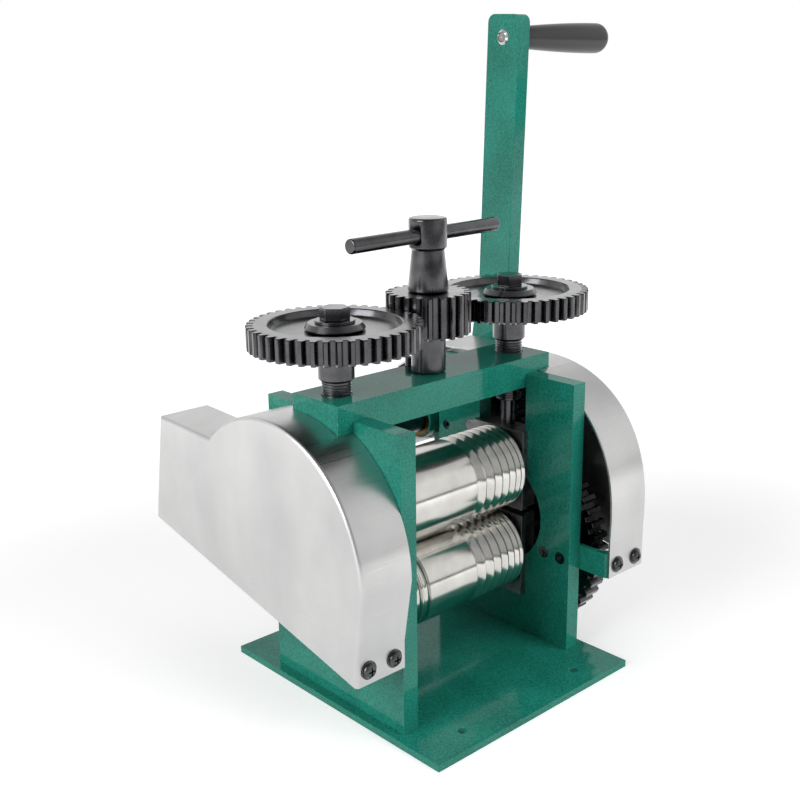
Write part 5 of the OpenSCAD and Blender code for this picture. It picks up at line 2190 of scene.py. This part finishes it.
@dataclass
class Studio:
    """Pale floor, soft lamps and a camera at the photograph's angle.

    Attributes:
        eye: Where the camera stands.
        azimuth: Turn of its view from straight to the rear.
        elevation: How far it looks down.
        roll: Its turn about its own view.
        focal_px: Focal length in pixels of the image's width.
        image_px: Width of the image.
        sensor: Width of the camera's sensor, in millimetres.
        floor_size: Length of the floor's sides.
        floor_drop: How far the floor lies below the base, so that the two don't meet.
        target: What the lamps point at.
        lamps: A key lamp on the left, one beside the camera and a weak one above.
        fill: Strength of the world as light.
        overhead: Strength of the world above the mill, as reflections show it.
        overhead_from: Heights of a view ray where that dimming starts and is full.
        behind: Strength of the world behind the camera, as reflections show it.
        behind_from: How near to the camera's way a ray starts to dim and is dimmest.
        glow: Strength of the floor's own white beside the mill, as the camera sees it.
        glow_reach: Distances where that white starts to rise and where it is full.
        band: Width, height and distance of a dark band, which the rolls reflect.
    """

    eye: Vector = field(default_factory=lambda: Vector((-0.4260, -0.4433, 0.3399)))
    azimuth: float = math.radians(-42.36)
    elevation: float = math.radians(16.16)
    roll: float = math.radians(-0.73)
    focal_px: float = 1142.4
    image_px: float = 800.0
    sensor: float = 36.0
    floor_size: float = 8.0
    floor_drop: float = 0.05 * MM
    target: Vector = field(default_factory=lambda: Vector((0, 0, 0.15)))
    lamps: tuple[Lamp, ...] = (
        Lamp("key", (-2.0, 0.15, 1.1), 1.3, 38.0, mirrored=True),
        Lamp("front", (0.7, -1.8, 0.9), 1.4, 27.0),
        Lamp("above", (0.1, -0.1, 1.6), 1.2, 4.0),
    )
    fill: float = 0.14
    overhead: float = 0.3
    overhead_from: tuple[float, float] = (0.5, 0.9)
    behind: float = 0.5
    behind_from: tuple[float, float] = (0.7, 0.9)
    glow: float = 0.5
    glow_reach: tuple[float, float] = (0.3, 1.1)
    band: tuple[float, float, float] = (8.0, 0.17, 1.6)

    def build(self) -> None:
        """Builds the camera, the lamps, the world and the floor."""
        self.camera()
        for lamp in self.lamps:
            lamp.hang(self.target)
        self.world()
        self.floor()
        self.dark_band()
        bpy.context.scene.view_settings.view_transform = "Standard"

    def back(self) -> Vector:
        """Gives the direction from the mill back to the camera.

        Returns:
            A vector of unit length.
        """
        return Vector((
            math.sin(self.azimuth) * math.cos(self.elevation),
            -math.cos(self.azimuth) * math.cos(self.elevation),
            math.sin(self.elevation),
        ))

    def camera(self) -> None:
        """Sets the camera where the photograph was taken from."""
        back = self.back()
        right = (-back).cross(Vector((0, 0, 1))).normalized()
        down = (-back).cross(right)
        turn_cos, turn_sin = math.cos(self.roll), math.sin(self.roll)
        level_right = turn_cos * right - turn_sin * down
        level_down = turn_sin * right + turn_cos * down
        basis = Matrix((level_right, -level_down, back)).transposed().to_4x4()
        data = bpy.data.cameras.new("camera")
        data.sensor_width = self.sensor
        data.lens = self.sensor * self.focal_px / self.image_px
        data.clip_start = 0.01
        camera = bpy.data.objects.new("camera", data)
        camera.matrix_world = Matrix.Translation(self.eye) @ basis
        bpy.context.scene.collection.objects.link(camera)
        bpy.context.scene.camera = camera

    def world(self) -> None:
        """Shows white to the camera and in reflections, dimmer overhead, and lights softly."""
        world = bpy.data.worlds.new("studio")
        world.use_nodes = True
        tree = world.node_tree
        tree.nodes.clear()
        way = add_node(tree, "ShaderNodeTexCoord").outputs["Generated"]
        parts = add_node(tree, "ShaderNodeSeparateXYZ", None, {"Vector": way})
        above = ramp(tree, parts.outputs["Z"], *self.overhead_from, 1.0, self.overhead)
        facing = add_node(tree, "ShaderNodeVectorMath", {"operation": "DOT_PRODUCT"})
        tree.links.new(way, facing.inputs[0])
        facing.inputs[1].default_value = self.back()
        nearness = facing.outputs["Value"]
        behind = ramp(tree, nearness, *self.behind_from, 1.0, self.behind)
        mirrored = self.joined_value(tree, "MULTIPLY", above, behind)
        path = tree.nodes.new("ShaderNodeLightPath")
        shown = self.joined_value(tree, "MAXIMUM", mirrored, path.outputs["Is Camera Ray"])
        lit = self.joined_value(tree, "MULTIPLY", shown, self.seen_directly(tree))
        strength = self.joined_value(tree, "MAXIMUM", lit, self.fill)
        light = add_node(
            tree, "ShaderNodeBackground", {"Color": (1, 1, 1, 1)}, {"Strength": strength}
        )
        add_node(tree, "ShaderNodeOutputWorld", None, {"Surface": light.outputs[0]})
        bpy.context.scene.world = world

    @staticmethod
    def joined_value(
        tree: bpy.types.NodeTree,
        operation: str,
        first: bpy.types.NodeSocket,
        second: bpy.types.NodeSocket | float,
    ) -> bpy.types.NodeSocket:
        """Joins two values by an operation.

        Args:
            tree: The node tree.
            operation: The operation's name.
            first: The first value.
            second: The second value, as an output or a number.

        Returns:
            The result.
        """
        node = add_node(tree, "ShaderNodeMath", {"operation": operation})
        tree.links.new(first, node.inputs[0])
        if isinstance(second, float):
            node.inputs[1].default_value = second
        else:
            tree.links.new(second, node.inputs[1])
        return node.outputs[0]

    @staticmethod
    def seen_directly(tree: bpy.types.NodeTree) -> bpy.types.NodeSocket:
        """Tells rays that show things from rays that only light them.

        Args:
            tree: The node tree.

        Returns:
            One for camera, glossy and transmission rays, and zero for others.
        """
        path = tree.nodes.new("ShaderNodeLightPath")
        first = Studio.joined_value(
            tree, "MAXIMUM", path.outputs["Is Camera Ray"], path.outputs["Is Glossy Ray"]
        )
        return Studio.joined_value(tree, "MAXIMUM", first, path.outputs["Is Transmission Ray"])

    def floor(self) -> None:
        """Lays the pale floor, which keeps the mill's soft shadow."""
        build = bmesh.new()
        bmesh.ops.create_grid(build, x_segments=1, y_segments=1, size=self.floor_size / 2)
        floor = object_from("floor", build)
        floor.location.z = -self.floor_drop
        material, tree, place = new_material("pale_floor")
        matt = add_node(tree, "ShaderNodeBsdfDiffuse", {"Color": srgb("#DCDCDC")})
        reach = add_node(
            tree, "ShaderNodeVectorMath", {"operation": "LENGTH"}, {"Vector": place}
        )
        level = ramp(tree, reach.outputs["Value"], *self.glow_reach, self.glow, 1.0)
        glow_strength = self.joined_value(tree, "MULTIPLY", level, self.seen_directly(tree))
        glow = add_node(
            tree, "ShaderNodeEmission", {"Color": (1, 1, 1, 1)}, {"Strength": glow_strength}
        )
        both = add_node(tree, "ShaderNodeAddShader")
        tree.links.new(matt.outputs[0], both.inputs[0])
        tree.links.new(glow.outputs[0], both.inputs[1])
        add_node(tree, "ShaderNodeOutputMaterial", None, {"Surface": both.outputs[0]})
        floor.data.materials.append(material)

    def dark_band(self) -> None:
        """Stands the dark band between the table and the front lamp, for reflections only."""
        build = bmesh.new()
        bmesh.ops.create_grid(build, x_segments=1, y_segments=1, size=0.5)
        width, height, distance = self.band
        matrix = (
            Matrix.Translation((0, -distance, height / 2)) @ Matrix.Rotation(math.pi / 2, 4, "X")
            @ Matrix.Diagonal((width, height, 1, 1))
        )
        bmesh.ops.transform(build, verts=build.verts, matrix=matrix)
        band = object_from("dark_band", build)
        band.visible_camera = False
        band.visible_diffuse = False
        band.visible_shadow = False
        material, tree, _ = new_material("dark_cloth")
        matt = add_node(tree, "ShaderNodeBsdfDiffuse", {"Color": srgb("#1C1C1C")})
        add_node(tree, "ShaderNodeOutputMaterial", None, {"Surface": matt.outputs[0]})
        band.data.materials.append(material)


def main() -> None:
    """Builds the dressed mill piece by piece."""
    logging.basicConfig(level=logging.INFO, format="%(name)s: %(message)s")
    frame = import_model()
    joints = {
        joint["name"]: Vector(joint["pos_m"]) for joint in frame["joints"] if "pos_m" in joint
    }
    finishes = Finishes()
    finishes.build()
    shop = Workshop(frame["nodes"], finishes)
    rings = NodeTools.ring_of_copies()
    Housing(shop).build()
    Rolls(shop, joints).build()
    RollSetting(shop, rings, threads=NodeTools.thread()).build()
    GearTrain(shop, rings, joints=joints).build()
    Guards(shop, NodeTools.row_of_copies()).build()
    Crank(shop, joints).build()
    Studio().build()
    LOG.info("%d pieces made", len(shop.pieces))


if __name__ == "__main__":
    main()
